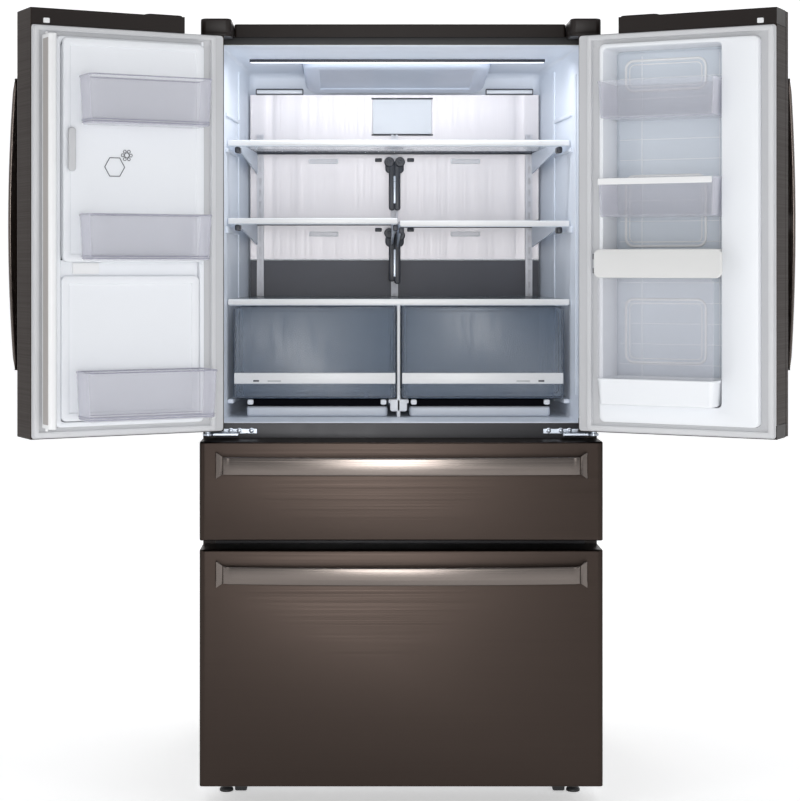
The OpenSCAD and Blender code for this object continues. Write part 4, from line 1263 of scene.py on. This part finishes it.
        # Near-black, nearly glossless sheet under each crisper: painted shadow of the dark gap beneath the
        # crispers, not a real rail.
        rail = Shell().block((27, 146, level - 18.5), (360, 500, level - 2), 3, 1.5, Axis.Y)
        self.maker.piece("under_crisper_painted_shadow", rail.mirrored(), SHADOW)
        feet = Shell()
        for x in (36.0, 352.0):
            feet.block((x - 7, 129, level - 14), (x + 7, 145, level - 1.5), 4, 2, Axis.Y)
        self.maker.piece("under_crisper_feet", feet.mirrored(), WHITE)


@dataclass(frozen=True)
class Crisper:
    """One clear vegetable drawer under the glass cover."""

    side: str
    place: Place
    wall: float = 3.0

    def build(self) -> None:
        """Tub, front with its frame lines, and a white band with a slider."""
        name = "crisper_" + self.side
        maker = Maker(name, Place(self.place.front_m, mirror=self.side == "right"))
        lo, hi = maker.place.box(name)
        front = lo[1] + 4
        tub = Shell().tray((lo[0] + 13, front + 3.5, lo[2]), (hi[0] - 3, hi[1], hi[2] - 1), self.wall, 16,
                           6, 2)
        maker.piece(name + "_tub", tub, SMOKE, [name])
        face = Shell().block((lo[0], front, lo[2] + 2), (hi[0], front + 3, hi[2] - 1), 7, 1, Axis.Y)
        maker.piece(name + "_front", face, SMOKE)
        rim = Shell().bead((lo[0] + 3, front + 0.6, lo[2] + 5), (hi[0] - 3, front, hi[2] - 4), 2.0, 6)
        rim.bead((lo[0] + 12, front + 0.4, lo[2] + 14), (hi[0] - 12, front, hi[2] - 13), 0.7, 8)
        maker.piece(name + "_rim", rim, SMOKE_EDGE)
        band = Shell().block((lo[0] + 1, lo[1], lo[2] + 36), (hi[0] - 1, front + 0.5, lo[2] + 62), 3, 1.2,
                             Axis.X)
        maker.piece(name + "_band", band, TRIM)
        slider = Shell().block((lo[0] + 46, lo[1] - 0.6, lo[2] + 41), (lo[0] + 60, lo[1] + 1, lo[2] + 45),
                               1, 0.4, Axis.Y)
        slider.block((lo[0] + 80, lo[1] - 0.3, lo[2] + 42), (lo[0] + 112, lo[1] + 1, lo[2] + 43.4), 0.5,
                     0.3, Axis.X)
        maker.piece(name + "_slider", slider, INK)


@dataclass(frozen=True)
class LowerRooms:
    """Drawer and freezer compartments, their slides, cold parts and the machine room."""

    maker: Maker

    def build(self) -> None:
        """Builds the liners and dresses what is inside."""
        lo, hi = self.maker.place.box("drawer_liner")
        flange = 12.0
        mouth = (lo + (flange, 0, 3), hi - (flange, 3, 3))
        pairs = [(-3, hi[1]), (-3, 2)]
        shell = Shell().steps(*mouth, 8, pairs + [(-4.5, 2), (-4.5, 0.2), (-2, 0.2), (0, 4), (0, hi[1] - 11),
                                                  (2, hi[1] - 5), (8, hi[1] - 3)], Axis.Y)
        self.maker.piece("drawer_room_liner", shell, WHITE, ["drawer_liner"])
        self.maker.dress(WHITE, "freezer_liner", "freezer_duct_panel")
        self.maker.dress(ZINC, "drawer_slides")
        self.maker.dress(FINS, "evaporator")
        self.maker.dress(ENAMEL, "compressor", "condenser")
        Maker("condenser_fan", self.maker.place).dress(BLACK, "condenser_fan")
        Maker("evaporator_fan", self.maker.place).dress(BLACK, "evaporator_fan")


@dataclass(frozen=True)
class Drawer:
    """One drawer: front, seal, bow handle and sliding bin."""

    name: str
    place: Place
    edge: float = 12.0
    bar_height: float = 40.0
    bar_drop: float = 50.0
    bar_length: float = 830.0

    def build(self) -> None:
        """Builds the drawer's pieces on its own body."""
        maker = Maker(self.name, self.place)
        boxes = self.place.solids(self.name + "_front")
        lo = np.min([b[0] for b in boxes], 0)
        hi = np.max([b[1] for b in boxes], 0)
        back = -8.0
        turn = np.linspace(0, math.pi / 2, 8)
        side = self.edge * (1 - np.cos(turn))
        top = 4.0 * (1 - np.cos(turn))
        rows = [(lo[0] + 1.5, hi[0] - 1.5, lo[2] + 1.5, hi[2] - 1.5, 2, back),
                (lo[0], hi[0], lo[2], hi[2], 3, back - 2)]
        rows += [(lo[0] + s, hi[0] - s, lo[2] + t, hi[2] - t, 3, lo[1] + self.edge * (1 - math.sin(a)))
                 for s, t, a in zip(side, top, turn)]
        maker.piece(self.name + "_face", Shell().loft(rows, Axis.Y), DARK_STEEL, [self.name + "_front"])
        inner = Shell().block((lo[0] + 10, back - 1, lo[2] + 4), (hi[0] - 10, back + 0.6, hi[2] - 4), 4,
                              0.5, Axis.Y)
        maker.piece(self.name + "_inner_panel", inner, GREY)
        seal = Shell().steps((lo[0] + 22, 0, lo[2] + 6), (hi[0] - 22, 0, hi[2] - 6), 6, seal_profile(),
                             Axis.Y, True)
        maker.piece(self.name + "_seal", seal, SEAL)
        level = hi[2] - self.bar_drop
        bar = BowHandle().shell((-self.bar_length / 2, lo[1], level - self.bar_height / 2),
                                (self.bar_length / 2, lo[1], level + self.bar_height / 2), Axis.X)
        maker.piece(self.name + "_bow_handle", bar, LEVEL_BAR, [self.name + "_handle"])
        self.bin(maker)

    def bin(self, maker: Maker) -> None:
        """Bin with a rolled rim, ribs along its floor and a runner on each side.

        Args:
            maker: makes the drawer's pieces.
        """
        lo, hi = self.place.box(self.name + "_bin")
        rail = 13.0
        shell = Shell().tray((lo[0] + rail / 2, 2.0, lo[2]), (hi[0] - rail / 2, hi[1], hi[2]), 3, 14, 2, 2)
        level = lo[2] + (50 if self.name == "middle_drawer" else 180)
        for s in (-1, 1):
            ends = sorted((s * (hi[0] - rail / 2 - 3), s * (hi[0] - 0.2)))
            shell.block((ends[0], 14, level + 3), (ends[1], hi[1] - 14, level + 20), 3, 1.5, Axis.Y)
        for x in np.linspace(lo[0] + 80, hi[0] - 80, 9):
            shell.block((x - 1.5, 16, lo[2] + 2.5), (x + 1.5, hi[1] - 14, lo[2] + 4.5), 1, 0.8, Axis.Y)
        maker.piece(self.name + "_bin_shell", shell, WHITE, [self.name + "_bin"])


def seal_profile() -> list[tuple[float, float]]:
    """Loop of a magnetic seal's section: foot, two bellows folds and a flat face."""
    half = [(0, -8.0), (0.6, -6.0), (2.0, -5.0), (0.8, -3.6), (0.9, -1.4), (2.4, -0.5)]
    return half + [(12.0 - inset, depth) for inset, depth in half[::-1]]


# ---- Doors ----


@dataclass(frozen=True)
class DoorParts:
    """What both doors share: border, seal, top and hinge trims, drawn shut on the left."""

    maker: Maker
    side: str
    back: float = -8.0

    def border(self, dyke_lo: Point, dyke_hi: Point) -> None:
        """Flat grey border round the raised inner panel, with a rolled outer edge and wider corners.

        Args:
            dyke_lo: low corner of the raised panel.
            dyke_hi: high corner of the raised panel.
        """
        skin_lo, skin_hi = self.maker.place.box(self.side + "_door_caps")
        top = skin_hi[2] - 36.5
        lo, hi = (skin_lo[0] + 1.2, skin_lo[2] + 1), (skin_hi[0] - 1.2, top)
        y = self.back
        rows = [(lo[0], hi[0], lo[1], hi[1], 7, y - 22), (lo[0], hi[0], lo[1], hi[1], 7, y - 1),
                (lo[0] + 0.8, hi[0] - 0.8, lo[1] + 0.8, hi[1] - 0.8, 6, y + 0.5),
                (dyke_lo[0] - 1, dyke_hi[0] + 1, dyke_lo[2] - 1, dyke_hi[2] + 1, 12, y + 0.5),
                (dyke_lo[0], dyke_hi[0], dyke_lo[2], dyke_hi[2], 12, y - 0.5),
                (dyke_lo[0], dyke_hi[0], dyke_lo[2], dyke_hi[2], 12, y - 22)]
        self.maker.piece(self.side + "_door_border", Shell().loft(rows, Axis.Y, True), GREY)
        striker = Shell().block((hi[0] - 41, y - 1, top + 4), (hi[0] - 27, y + 3, top + 15), 2, 1, Axis.Y)
        self.maker.piece(self.side + "_door_striker", striker, TRIM)
        cap = Shell().block((skin_lo[0] + 97, -74, top + 3), (skin_lo[0] + 184, y - 0.2, skin_hi[2] + 3),
                            12, 2)
        self.maker.piece(self.side + "_door_knuckle", cap, DARK_TOP)

    def seal(self, node: str) -> None:
        """Magnetic seal with bellows folds round the back of the door.

        Args:
            node: CAD node that it replaces.
        """
        lo, hi = self.maker.place.box(node)
        shell = Shell().steps(lo, hi, 6, seal_profile(), Axis.Y, True)
        self.maker.piece(self.side + "_door_seal", shell, SEAL, [node])

    def handle(self, maker: Maker) -> None:
        """Upright bow handle on the outside of the door.

        Args:
            maker: makes the pieces of the body that carries it.
        """
        node = self.side + "_door_handle"
        lo, hi = maker.place.box(node)
        width = 40.0
        middle = (lo[0] + hi[0]) / 2
        shell = BowHandle(sag=40.0).shell((middle - width / 2, hi[1], lo[2]),
                                          (middle + width / 2, hi[1], hi[2]), Axis.Z)
        maker.piece(self.side + "_door_bow_handle", shell, UPRIGHT_BAR, [node])


@dataclass(frozen=True)
class LeftDoor:
    """Left door: raised panel with an ice pocket behind its own door, a bin and the dispenser."""

    place: Place
    rise: float = 12.0
    dyke: tuple[float, float, float, float] = (-398.0, -52.0, 870.0, 1712.0)
    ice_floor: float = 1226.0
    pocket: float = -92.0

    def build(self) -> None:
        """Builds the door and what rides on it."""
        maker = Maker("left_door", self.place)
        x0, x1, z0, z1 = self.dyke
        parts = DoorParts(maker, "left")
        parts.border((x0, 0, z0), (x1, 0, z1))
        parts.seal("left_door_gasket")
        parts.handle(maker)
        maker.dress(DARK_STEEL, "left_door_skin")
        maker.dress(DARK_TOP, "left_door_caps")
        dyke = Shell().loft([(x0, x1, z0, z1, 12, -30), (x0, x1, z0, z1, 12, 8),
                             (x0 + 1.2, x1 - 1.2, z0 + 1.2, z1 - 1.2, 12, 11),
                             (x0 + 4, x1 - 4, z0 + 4, z1 - 4, 10, 12),
                             (x0 + 9, x1 - 9, z0 + 9, z1 - 9, 8, 12),
                             (x0 + 11, x1 - 11, z0 + 11, z1 - 11, 8, 10),
                             (x0 + 12, x1 - 12, z0 + 12, z1 - 12, 8, -30)], Axis.Y, True)
        maker.piece("left_door_raised_panel", dyke, WHITE, ["left_door_liner"])
        pocket = Shell().tray((x0 + 12, self.pocket, self.ice_floor + 4),
                              (x1 - 12, self.rise - 0.5, z1 - 12), 2.5, 12, 4, 0.5, Axis.Y)
        maker.piece("ice_pocket", pocket, WHITE)
        self.lower_panel(maker)
        self.bin(maker, "left_lower_bin", *maker.place.box("left_lower_bin"), replaces=["left_lower_bin"])
        self.ice_parts(maker)
        self.ice_door()
        self.flap()
        self.dispenser(maker)

    def lower_panel(self, maker: Maker) -> None:
        """Raised panel under the ice pocket: a sill with a small cover, then a pad with a sunk field.

        Args:
            maker: makes the door's pieces.
        """
        x0, x1, z0, _ = self.dyke
        inside = (x0 + 12, x1 - 12)
        pad_top = 1196.0
        sill = Shell().block((inside[0], -38, pad_top - 4), (inside[1], 2, self.ice_floor + 4), 2, 1, Axis.Y)
        maker.piece("left_door_sill", sill, WHITE)
        pad_pairs = [(0, -38), (0, 8), (1.2, 11), (3.5, 12), (16, 12), (17.5, 11.2), (19, 8.4), (22, 7.8)]
        pad = Shell().steps((inside[0], 0, z0 + 12), (inside[1], 0, pad_top), 12, pad_pairs, Axis.Y)
        maker.piece("left_door_lower_pad", pad, WHITE)
        cover = Shell().block((-152, 0, pad_top + 4), (-92, 6, self.ice_floor - 2), 2, 1, Axis.Y)
        maker.piece("left_door_small_cover", cover, TRIM)

    def bin(self, maker: Maker, name: str, lo: Point, hi: Point, replaces: Sequence[str] = ()) -> None:
        """Clear bin with a drawn-in floor, a bright rim and hooks at its back corners.

        Args:
            maker: makes the pieces of the body that carries it.
            name: name of the piece.
            lo: low corner.
            hi: high corner.
            replaces: CAD nodes that it stands for.
        """
        shell = Shell().tray((lo[0], lo[1] + 0.5, lo[2]), hi, 2.4, 16, 5, 1.6)
        maker.piece(name + "_tray", shell, CLEAR, replaces)
        edges = Shell().bead((lo[0] + 1.6, lo[1] + 2.1, hi[2] - 1.6),
                             (hi[0] - 1.6, hi[1] - 1.6, hi[2] - 1.6), 1.5, 15, Axis.Z)
        for inset, up in ((5.4, 4.2), (4.6, 9.0)):
            edges.bead((lo[0] + inset, lo[1] + 0.5 + inset, lo[2] + up),
                       (hi[0] - inset, hi[1] - inset, lo[2] + up), 1.0, 14, Axis.Z)
        maker.piece(name + "_edges", edges, CLEAR_EDGE)

    def ice_parts(self, maker: Maker) -> None:
        """Ice bin below and ice tray above, inside the pocket.

        Args:
            maker: makes the door's pieces.
        """
        boxes = maker.place.solids("ice_maker")
        lo, hi = boxes[0]
        store = Shell().tray(lo + (0, 2, 0), hi, 3, 14, 5, 2)
        maker.piece("ice_store", store, CLEAR, ["ice_maker"])
        lo, hi = np.min([b[0] for b in boxes[1:]], 0), np.max([b[1] for b in boxes[1:]], 0)
        body = Shell().block((lo[0], lo[1] + 4, lo[2]), (hi[0], hi[1], hi[2] - 28), 8, 3)
        body.frame((lo[0], lo[1] + 4, hi[2] - 28), (hi[0], hi[1], hi[2]), 5, 8, 1.5, Axis.Z)
        maker.piece("ice_tray_body", body, GREY)
        cups = Shell()
        for x in np.linspace(lo[0] + 24, hi[0] - 24, 7):
            cups.block((x - 13, lo[1] + 14, hi[2] - 29), (x + 13, hi[1] - 8, hi[2] - 21), 6, 3)
        maker.piece("ice_tray_cups", cups, PALE)

    def ice_door(self) -> None:
        """Door of the ice pocket, its two bins, its latch and a plain frost mark."""
        maker = Maker("ice_door", self.place)
        lo, hi = maker.place.solids("ice_door")[0]
        lo, hi = np.array([self.dyke[0] + 8, lo[1] + 0.2, self.ice_floor]), np.array([-64.0, 24.0, hi[2] - 7])
        pairs = [(1, 12.5), (0, 14), (0, 20), (0.9, 22.8), (3.2, 24), (15, 24), (16.2, 23.2),
                 (17.5, 21.4), (21, 21)]
        panel = Shell().steps(lo, hi, 10, pairs, Axis.Y)
        pivot = lo[0]
        for z, up in ((lo[2] - 7, 1), (hi[2] + 7, -1)):
            panel.turned((pivot, 18.0, z), [(2.2, 0), (2.95, 0.8 * up), (2.95, 9 * up)])
        maker.piece("ice_door_panel", panel, WHITE, ["ice_door"])
        boxes = maker.place.solids("ice_door_bins")
        for name, (blo, bhi) in zip(("ice_door_lower_bin", "ice_door_upper_bin"), boxes):
            replaces = ["ice_door_bins"] if name.endswith("lower_bin") else []
            self.bin(maker, name, (blo[0], 21.2, blo[2]), bhi, replaces)
        mark = Shell()
        turn = np.linspace(0, 2 * math.pi, 7)
        for x, z, radius, thick in ((-182.0, 1432.0, 23.0, 0.9), (-210.0, 1458.0, 6.0, 0.8)):
            ring = np.stack([x + radius * np.cos(turn), np.full(7, 21.6), z + radius * np.sin(turn)], 1)
            mark.tube(ring, thick, 6)
        for a in turn[:-1]:
            x, z = -210.0 + 9.5 * math.cos(a), 1458.0 + 9.5 * math.sin(a)
            mark.tube(np.stack([x + 3.6 * np.cos(turn), np.full(7, 21.6), z + 3.6 * np.sin(turn)], 1),
                      0.7, 6)
        maker.piece("ice_door_frost_mark", mark, INK)
        latch = Maker("ice_latch", self.place)
        lo, hi = latch.place.box("ice_latch")
        grip = Shell().block(lo + (0, 3, 0), hi, 8, 4, Axis.Y)
        grip.block(lo + (4, 0, 16), hi - (4, 5, 16), 3, 1, Axis.Y)
        latch.piece("ice_latch_grip", grip, GREY, ["ice_latch"])

    def flap(self) -> None:
        """Folding flap that closes the gap between the doors: white bar with a taupe strip and end pins."""
        maker = Maker("mullion_flap", self.place)
        lo, hi = maker.place.box("mullion_flap")
        body = Shell().block(lo + (0, 0, 7), hi - (0, 0, 7), 7, 2)
        x, y = (lo[0] + hi[0]) / 2, lo[1] + 9
        for z, up in ((lo[2], 1), (hi[2], -1)):
            body.turned((x, y, z), [(2.2, 0), (2.95, 0.8 * up), (2.95, 9 * up)])
        maker.piece("mullion_flap_bar", body, TRIM, ["mullion_flap"])
        strip = Shell().block((hi[0] - 1.5, lo[1] + 12, lo[2] + 16), (hi[0] + 0.6, hi[1] - 8, hi[2] - 16),
                              1, 0.5, Axis.X)
        maker.piece("mullion_flap_strip", strip, TAUPE)

    def dispenser(self, maker: Maker) -> None:
        """Outside of the door: gloss control panel, recess with spout and drip grille, and the paddle.

        Args:
            maker: makes the door's pieces.
        """
        lo, hi = maker.place.box("dispenser_frame")
        front, mouth = lo[1], 1195.0
        recess = Shell().tray((lo[0] + 0.5, front + 0.2, lo[2] + 0.5), (hi[0] - 0.5, hi[1], mouth), 2.5,
                              10, 3, 8, Axis.Y, True)
        maker.piece("dispenser_recess", recess, BLACK, ["dispenser_frame"])
        panel = Shell().block((lo[0] + 0.5, front, mouth + 0.5), (hi[0] - 0.5, front + 3, hi[2] - 0.5), 5,
                              1, Axis.Y)
        maker.piece("dispenser_panel", panel, GLOSS_BLACK)
        marks = Shell()
        for x in np.linspace(lo[0] + 34, hi[0] - 34, 4):
            marks.turned((x, front - 0.05, mouth + 42), [(6, 0.4), (6, 0), (5, 0), (5, 0.4)], Axis.Y, True)
        marks.block((lo[0] + 50, front - 0.05, mouth + 76), (hi[0] - 50, front + 0.5, mouth + 78), 0.6,
                    0.2, Axis.X)
        maker.piece("dispenser_marks", marks, PALE)
        spout = Shell().turned((-230.0, -75.0, mouth),
                               [(16, -4), (16, -12), (12, -15), (12, -28), (10, -28), (8, -18)])
        maker.piece("dispenser_spout", spout, BLACK)
        grille = Shell()
        for y in np.linspace(front + 16, hi[1] - 12, 8):
            grille.block((lo[0] + 22, y - 1.5, lo[2] + 7), (hi[0] - 22, y + 1.5, lo[2] + 10), 1, 0.8, Axis.X)
        maker.piece("dispenser_drip_grille", grille, ZINC)
        Maker("dispenser_paddle", self.place).dress(BLACK, "dispenser_paddle")


@dataclass(frozen=True)
class RightDoor:
    """Right door: an open inner case with baskets, shut by its own outer door."""

    place: Place
    dyke: tuple[float, float, float, float] = (-398.0, -36.0, 870.0, 1712.0)
    opening: tuple[float, float, float, float] = (-388.0, -118.0, 910.0, 1702.0)
    split: float = -78.0

    def build(self) -> None:
        """Builds the inner case, its baskets and the outer door."""
        maker = Maker("right_door", self.place)
        x0, x1, z0, z1 = self.dyke
        a0, a1, b0, b1 = self.opening
        parts = DoorParts(maker, "right")
        parts.border((x0, 0, z0), (x1, 0, z1))
        parts.seal("right_case_gasket")
        maker.dress(DARK_TOP, "right_door_caps")
        case = Shell().loft([(x0, x1, z0, z1, 12, self.split), (x0, x1, z0, z1, 12, 7),
                             (x0 + 1.2, x1 - 1.2, z0 + 1.2, z1 - 1.2, 12, 10.5),
                             (x0 + 4, x1 - 4, z0 + 4, z1 - 4, 10, 12),
                             (a0 - 3, a1 + 3, b0 - 3, b1 + 3, 12, 12),
                             (a0 - 0.8, a1 + 0.8, b0 - 0.8, b1 + 0.8, 10, 11),
                             (a0, a1, b0, b1, 10, 9), (a0, a1, b0, b1, 10, self.split)], Axis.Y, True)
        maker.piece("right_inner_case", case, WHITE, ["right_case"])
        lo, hi = maker.place.box("right_door_caps")
        foot, head = 875.2, 1735.8
        wrap = Shell().loft([(lo[0], hi[0], foot, head, 2, self.split),
                             (lo[0], hi[0], foot, head, 2, -10),
                             (lo[0] + 1.5, hi[0] - 1.5, foot, head, 2, -9),
                             (lo[0] + 3, hi[0] - 3, foot + 2.8, head - 2.8, 2, -9),
                             (lo[0] + 3, hi[0] - 3, foot + 2.8, head - 2.8, 2, self.split)], Axis.Y, True)
        maker.piece("right_case_wrap", wrap, DARK_STEEL)
        line = Shell().frame((lo[0] + 24, self.split - 1.8, 880), (hi[0] - 3, self.split + 2, 1724), 10,
                             6, 0.6)
        maker.piece("outer_door_seal", line, SEAL)
        self.baskets(maker)
        self.outer_door(parts)

    def baskets(self, maker: Maker) -> None:
        """Four baskets: the two upper ones clear, the third a pale band, the lowest white.

        Args:
            maker: makes the pieces of the inner case.
        """
        boxes = maker.place.solids("right_baskets")
        names = ("right_basket_low", "right_basket_band", "right_basket_clear", "right_basket_top")
        for index, (name, finish, (lo, hi)) in enumerate(zip(names, (WHITE, BAND, CLEAR, CLEAR), boxes)):
            shell = Shell().tray(lo + (1, 0, 0), hi - (1, 0, 0), 2.6, 14, 4, 2)
            maker.piece(name, shell, finish, ["right_baskets"] if index == 0 else [])
        lo, hi = boxes[2]
        bar = Shell().block((lo[0] + 6, hi[1] - 2, hi[2] - 15), (hi[0] - 6, hi[1], hi[2] - 1), 3, 0.8, Axis.X)
        maker.piece("right_basket_clear_bar", bar, TRIM)
        low, high = boxes[0], boxes[1]
        plate = Shell().block((high[0][0] - 4, high[1][1] - 9, high[0][2]),
                              (high[1][0] + 16, high[1][1] + 0.5, high[1][2]), 14, 3, Axis.Y)
        maker.piece("right_band_plate", plate, BAND)
        clips = Shell()
        for z in (high[0][2] + 10, high[1][2] - 22):
            clips.block((high[0][0] - 7, high[1][1] - 12, z), (high[0][0] - 3, high[1][1] - 2, z + 12), 2,
                        1, Axis.Z)
        maker.piece("right_band_clips", clips, INK)
        face = high[1][1]
        window = Shell().block((low[0][0] + 4, face - 8, low[1][2] + 1),
                               (low[1][0] - 4, face - 5.5, high[0][2] - 1), 8, 0.8, Axis.Y)
        maker.piece("right_clear_guard", window, CLEAR)

    def outer_door(self, parts: DoorParts) -> None:
        """Outer door: brushed skin, pale inner panel with raised rings and lines, handle and button.

        Args:
            parts: the shared door parts.
        """
        maker = Maker("outer_door", self.place)
        maker.dress(DARK_STEEL, "outer_door_skin")
        maker.dress(PALE, "outer_door_liner")
        parts.handle(maker)
        a0, a1, b0, b1 = self.opening
        y = self.split - 2.0
        pairs = [(0, y - 2), (0, y + 1.5), (1, y + 2.5), (3, y + 3)]
        pad = Shell().steps((a0 + 4, 0, b0 + 4), (a1 - 4, 0, b1 - 4), 12, pairs, Axis.Y)
        maker.piece("outer_door_inner_pad", pad, PALE)
        rings = Shell()
        for z0, z1 in ((1000.0, 1142.0), (1262.0, 1420.0), (1612.0, 1680.0)):
            rings.bead((a0 + 22, y + 3.2, z0), (a1 - 62, y + 3.2, z1), 3.0, 18)
            rings.bead((a0 + 31, y + 2.8, z0 + 9), (a1 - 71, y + 2.8, z1 - 9), 1.2, 12)
        maker.piece("outer_door_rings", rings, TRIM)
        lines = Shell()
        for x in (a0 + 60, a1 - 30, a1 - 24):
            lines.block((x - 1, y + 2, b0 + 12), (x + 1, y + 4, b1 - 12), 0.8, 0.6, Axis.Z)
        for z in np.arange(b0 + 40, b1 - 30, 46.0):
            lines.block((a0 + 8, y + 2, z - 0.8), (a1 - 8, y + 3.6, z + 0.8), 0.6, 0.5, Axis.X)
        maker.piece("outer_door_lines", lines, WHITE)
        button = Maker("release_button", self.place)
        lo, hi = button.place.box("release_button")
        shell = Shell().block(lo, hi, 4, 1.5, Axis.Y)
        button.piece("release_button_cap", shell, ZINC, ["release_button"])


@dataclass(frozen=True)
class FreezerTray:
    """Sliding tray over the freezer bin."""

    place: Place

    def build(self) -> None:
        """Tray with a rolled rim and five ribs on its floor."""
        maker = Maker("freezer_tray", self.place)
        lo, hi = maker.place.box("freezer_tray")
        shell = Shell().tray(lo, hi, 3, 14, 3, 2)
        for x in np.linspace(lo[0] + 120, hi[0] - 120, 5):
            shell.block((x - 1.5, lo[1] + 14, lo[2] + 2.5), (x + 1.5, hi[1] - 14, lo[2] + 4.5), 1, 0.8,
                        Axis.Y)
        maker.piece("freezer_tray_shell", shell, WHITE, ["freezer_tray"])


# ---- Studio ----


def aim_angles(way: np.ndarray) -> tuple[float, float, float]:
    """Euler angles that point a lamp's -Z along a direction."""
    x, y, z = way
    return (math.atan2(math.hypot(x, y), -z), 0.0, math.atan2(y, x) - math.pi / 2)


@dataclass(frozen=True)
class Studio:
    """Pale floor that curves up behind, soft lights and the camera. Lengths are metres in the row frame."""

    camera_at: tuple[float, float, float] = (-0.1089, -4.5195, 1.2152)
    lens_mm: float = 84.6135
    shift: tuple[float, float] = (0.059, -0.167)

    def build(self) -> None:
        """Builds the stage, the world, the lights and the camera."""
        self.floor()
        self.sky()
        self.lights()
        self.camera()

    def floor(self) -> None:
        """Floor swept up into a wall by a quarter circle far behind the object."""
        turn = np.linspace(0, math.pi / 2, 12)
        radius, far = 2.5, 5.0
        y = np.concatenate([[-9.0], far + radius * np.sin(turn), [far + radius]])
        z = np.concatenate([[0.0], radius * (1 - np.cos(turn)), [8.0]])
        x = np.array([-12.0, 12.0])
        points = np.stack([np.repeat(x, len(y)), np.tile(y, 2), np.tile(z, 2)], 1)
        n = len(y)
        i = np.arange(n - 1)
        faces = np.stack([i, i + n, i + n + 1, i + 1], 1).tolist()
        mesh = bpy.data.meshes.new("studio_floor")
        mesh.from_pydata(points, [], faces)
        mesh.polygons.foreach_set("use_smooth", np.ones(len(mesh.polygons), dtype=bool))
        paper = Moulded("studio_paper", "", (0.93, 0.93, 0.93), 0.8, 200.0, 0.05, 0.01).material()
        glow = paper.node_tree.nodes["Principled BSDF"].inputs
        glow["Emission Color"].default_value = (1.0, 1.0, 1.0, 1.0)
        glow["Emission Strength"].default_value = 0.45
        mesh.materials.append(paper)
        item = bpy.data.objects.new("studio_floor", mesh)
        bpy.context.scene.collection.objects.link(item)

    def sky(self) -> None:
        """Even white surroundings."""
        world = bpy.data.worlds.new("studio_world")
        world.use_nodes = True
        back = world.node_tree.nodes["Background"]
        back.inputs["Color"].default_value = (0.97, 0.98, 1.0, 1.0)
        back.inputs["Strength"].default_value = 0.44
        bpy.context.scene.world = world
        bpy.context.scene.view_settings.view_transform = "Standard"

    def light(self, name: str, at: Point, aim: Point, size: tuple[float, float], power: float,
              colour: Point = (1.0, 1.0, 1.0)) -> None:
        """Adds a rectangular lamp.

        Args:
            name: name of the lamp.
            at: where it hangs.
            aim: what it points at.
            size: width and height.
            power: watts.
            colour: its colour.
        """
        data = bpy.data.lights.new(name, "AREA")
        data.shape = "RECTANGLE"
        data.size, data.size_y = size
        data.energy = power
        data.color = colour
        lamp = bpy.data.objects.new(name, data)
        lamp.location = at
        lamp.rotation_euler = aim_angles(np.subtract(aim, at))
        bpy.context.scene.collection.objects.link(lamp)

    def lights(self) -> None:
        """Soft boxes in front, at both sides, above and behind, and the compartment's own lamps."""
        self.light("front_box", (0.0, -5.2, 1.0), (0.0, 0.0, 0.9), (0.9, 1.5), 52.0)
        self.light("left_box", (-3.4, -2.4, 1.9), (-0.3, 0.0, 0.9), (1.4, 2.4), 16.0)
        self.light("right_box", (3.4, -2.4, 1.9), (0.3, 0.0, 0.9), (1.4, 2.4), 16.0)
        self.light("back_box", (0.0, 3.6, 2.6), (0.0, 0.5, 0.9), (2.4, 1.6), 30.0)
        lo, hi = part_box("ceiling_duct")
        self.light("inside_front_lamp", (0.0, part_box("cabinet_shell")[0].y + 0.07, hi.z - 0.03),
                   (0.0, lo.y, 0.9), (0.7, 0.03), 1.3, (0.93, 0.96, 1.0))
        self.light("inside_back_lamp", (0.0, lo.y - 0.03, hi.z - 0.04), (0.0, hi.y, 1.3), (0.6, 0.03), 0.25,
                   (0.93, 0.96, 1.0))

    def camera(self) -> None:
        """Level camera square to the case, with its lens shifted to the right and down."""
        data = bpy.data.cameras.new("camera")
        data.sensor_fit = "HORIZONTAL"
        data.sensor_width = 36.0
        data.lens = self.lens_mm
        data.shift_x, data.shift_y = self.shift
        data.clip_end = 60.0
        item = bpy.data.objects.new("camera", data)
        item.location = self.camera_at
        item.rotation_euler = (math.pi / 2, 0.0, 0.0)
        bpy.context.scene.collection.objects.link(item)
        bpy.context.scene.camera = item


def door_place(front_m: float, joint: str, mirror: bool) -> Place:
    """Place of a door that stands open at rest.

    Args:
        front_m: row y of the case front, in metres.
        joint: the door's hinge.
        mirror: whether it is the right door.

    Returns:
        The place that turns what is drawn shut on the left to the open door.
    """
    hinge = next(j for j in frame["joints"] if j["name"] == joint)
    x, y, _ = hinge["pos_m"]
    return Place(front_m, (-abs(x) / MM, (y - front_m) / MM), math.radians(hinge["range_deg"][0]), mirror)


def main() -> None:
    """Builds the studio and every sub-assembly."""
    logging.basicConfig(level=logging.INFO, format="%(name)s: %(message)s")
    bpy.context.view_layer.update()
    front_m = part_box("cabinet_shell")[0].y
    case = Place(front_m)
    cabinet = Maker("cabinet", case)
    Studio().build()
    Casing(cabinet).build()
    Rollers(case).build()
    ColdRoom(cabinet).build()
    for side in ("left", "right"):
        Crisper(side, case).build()
    LowerRooms(cabinet).build()
    for name in ("middle_drawer", "freezer_drawer"):
        Drawer(name, case).build()
    FreezerTray(case).build()
    LeftDoor(door_place(front_m, "left_door_hinge", False)).build()
    RightDoor(door_place(front_m, "right_door_hinge", True)).build()


if __name__ == "__main__":
    main()
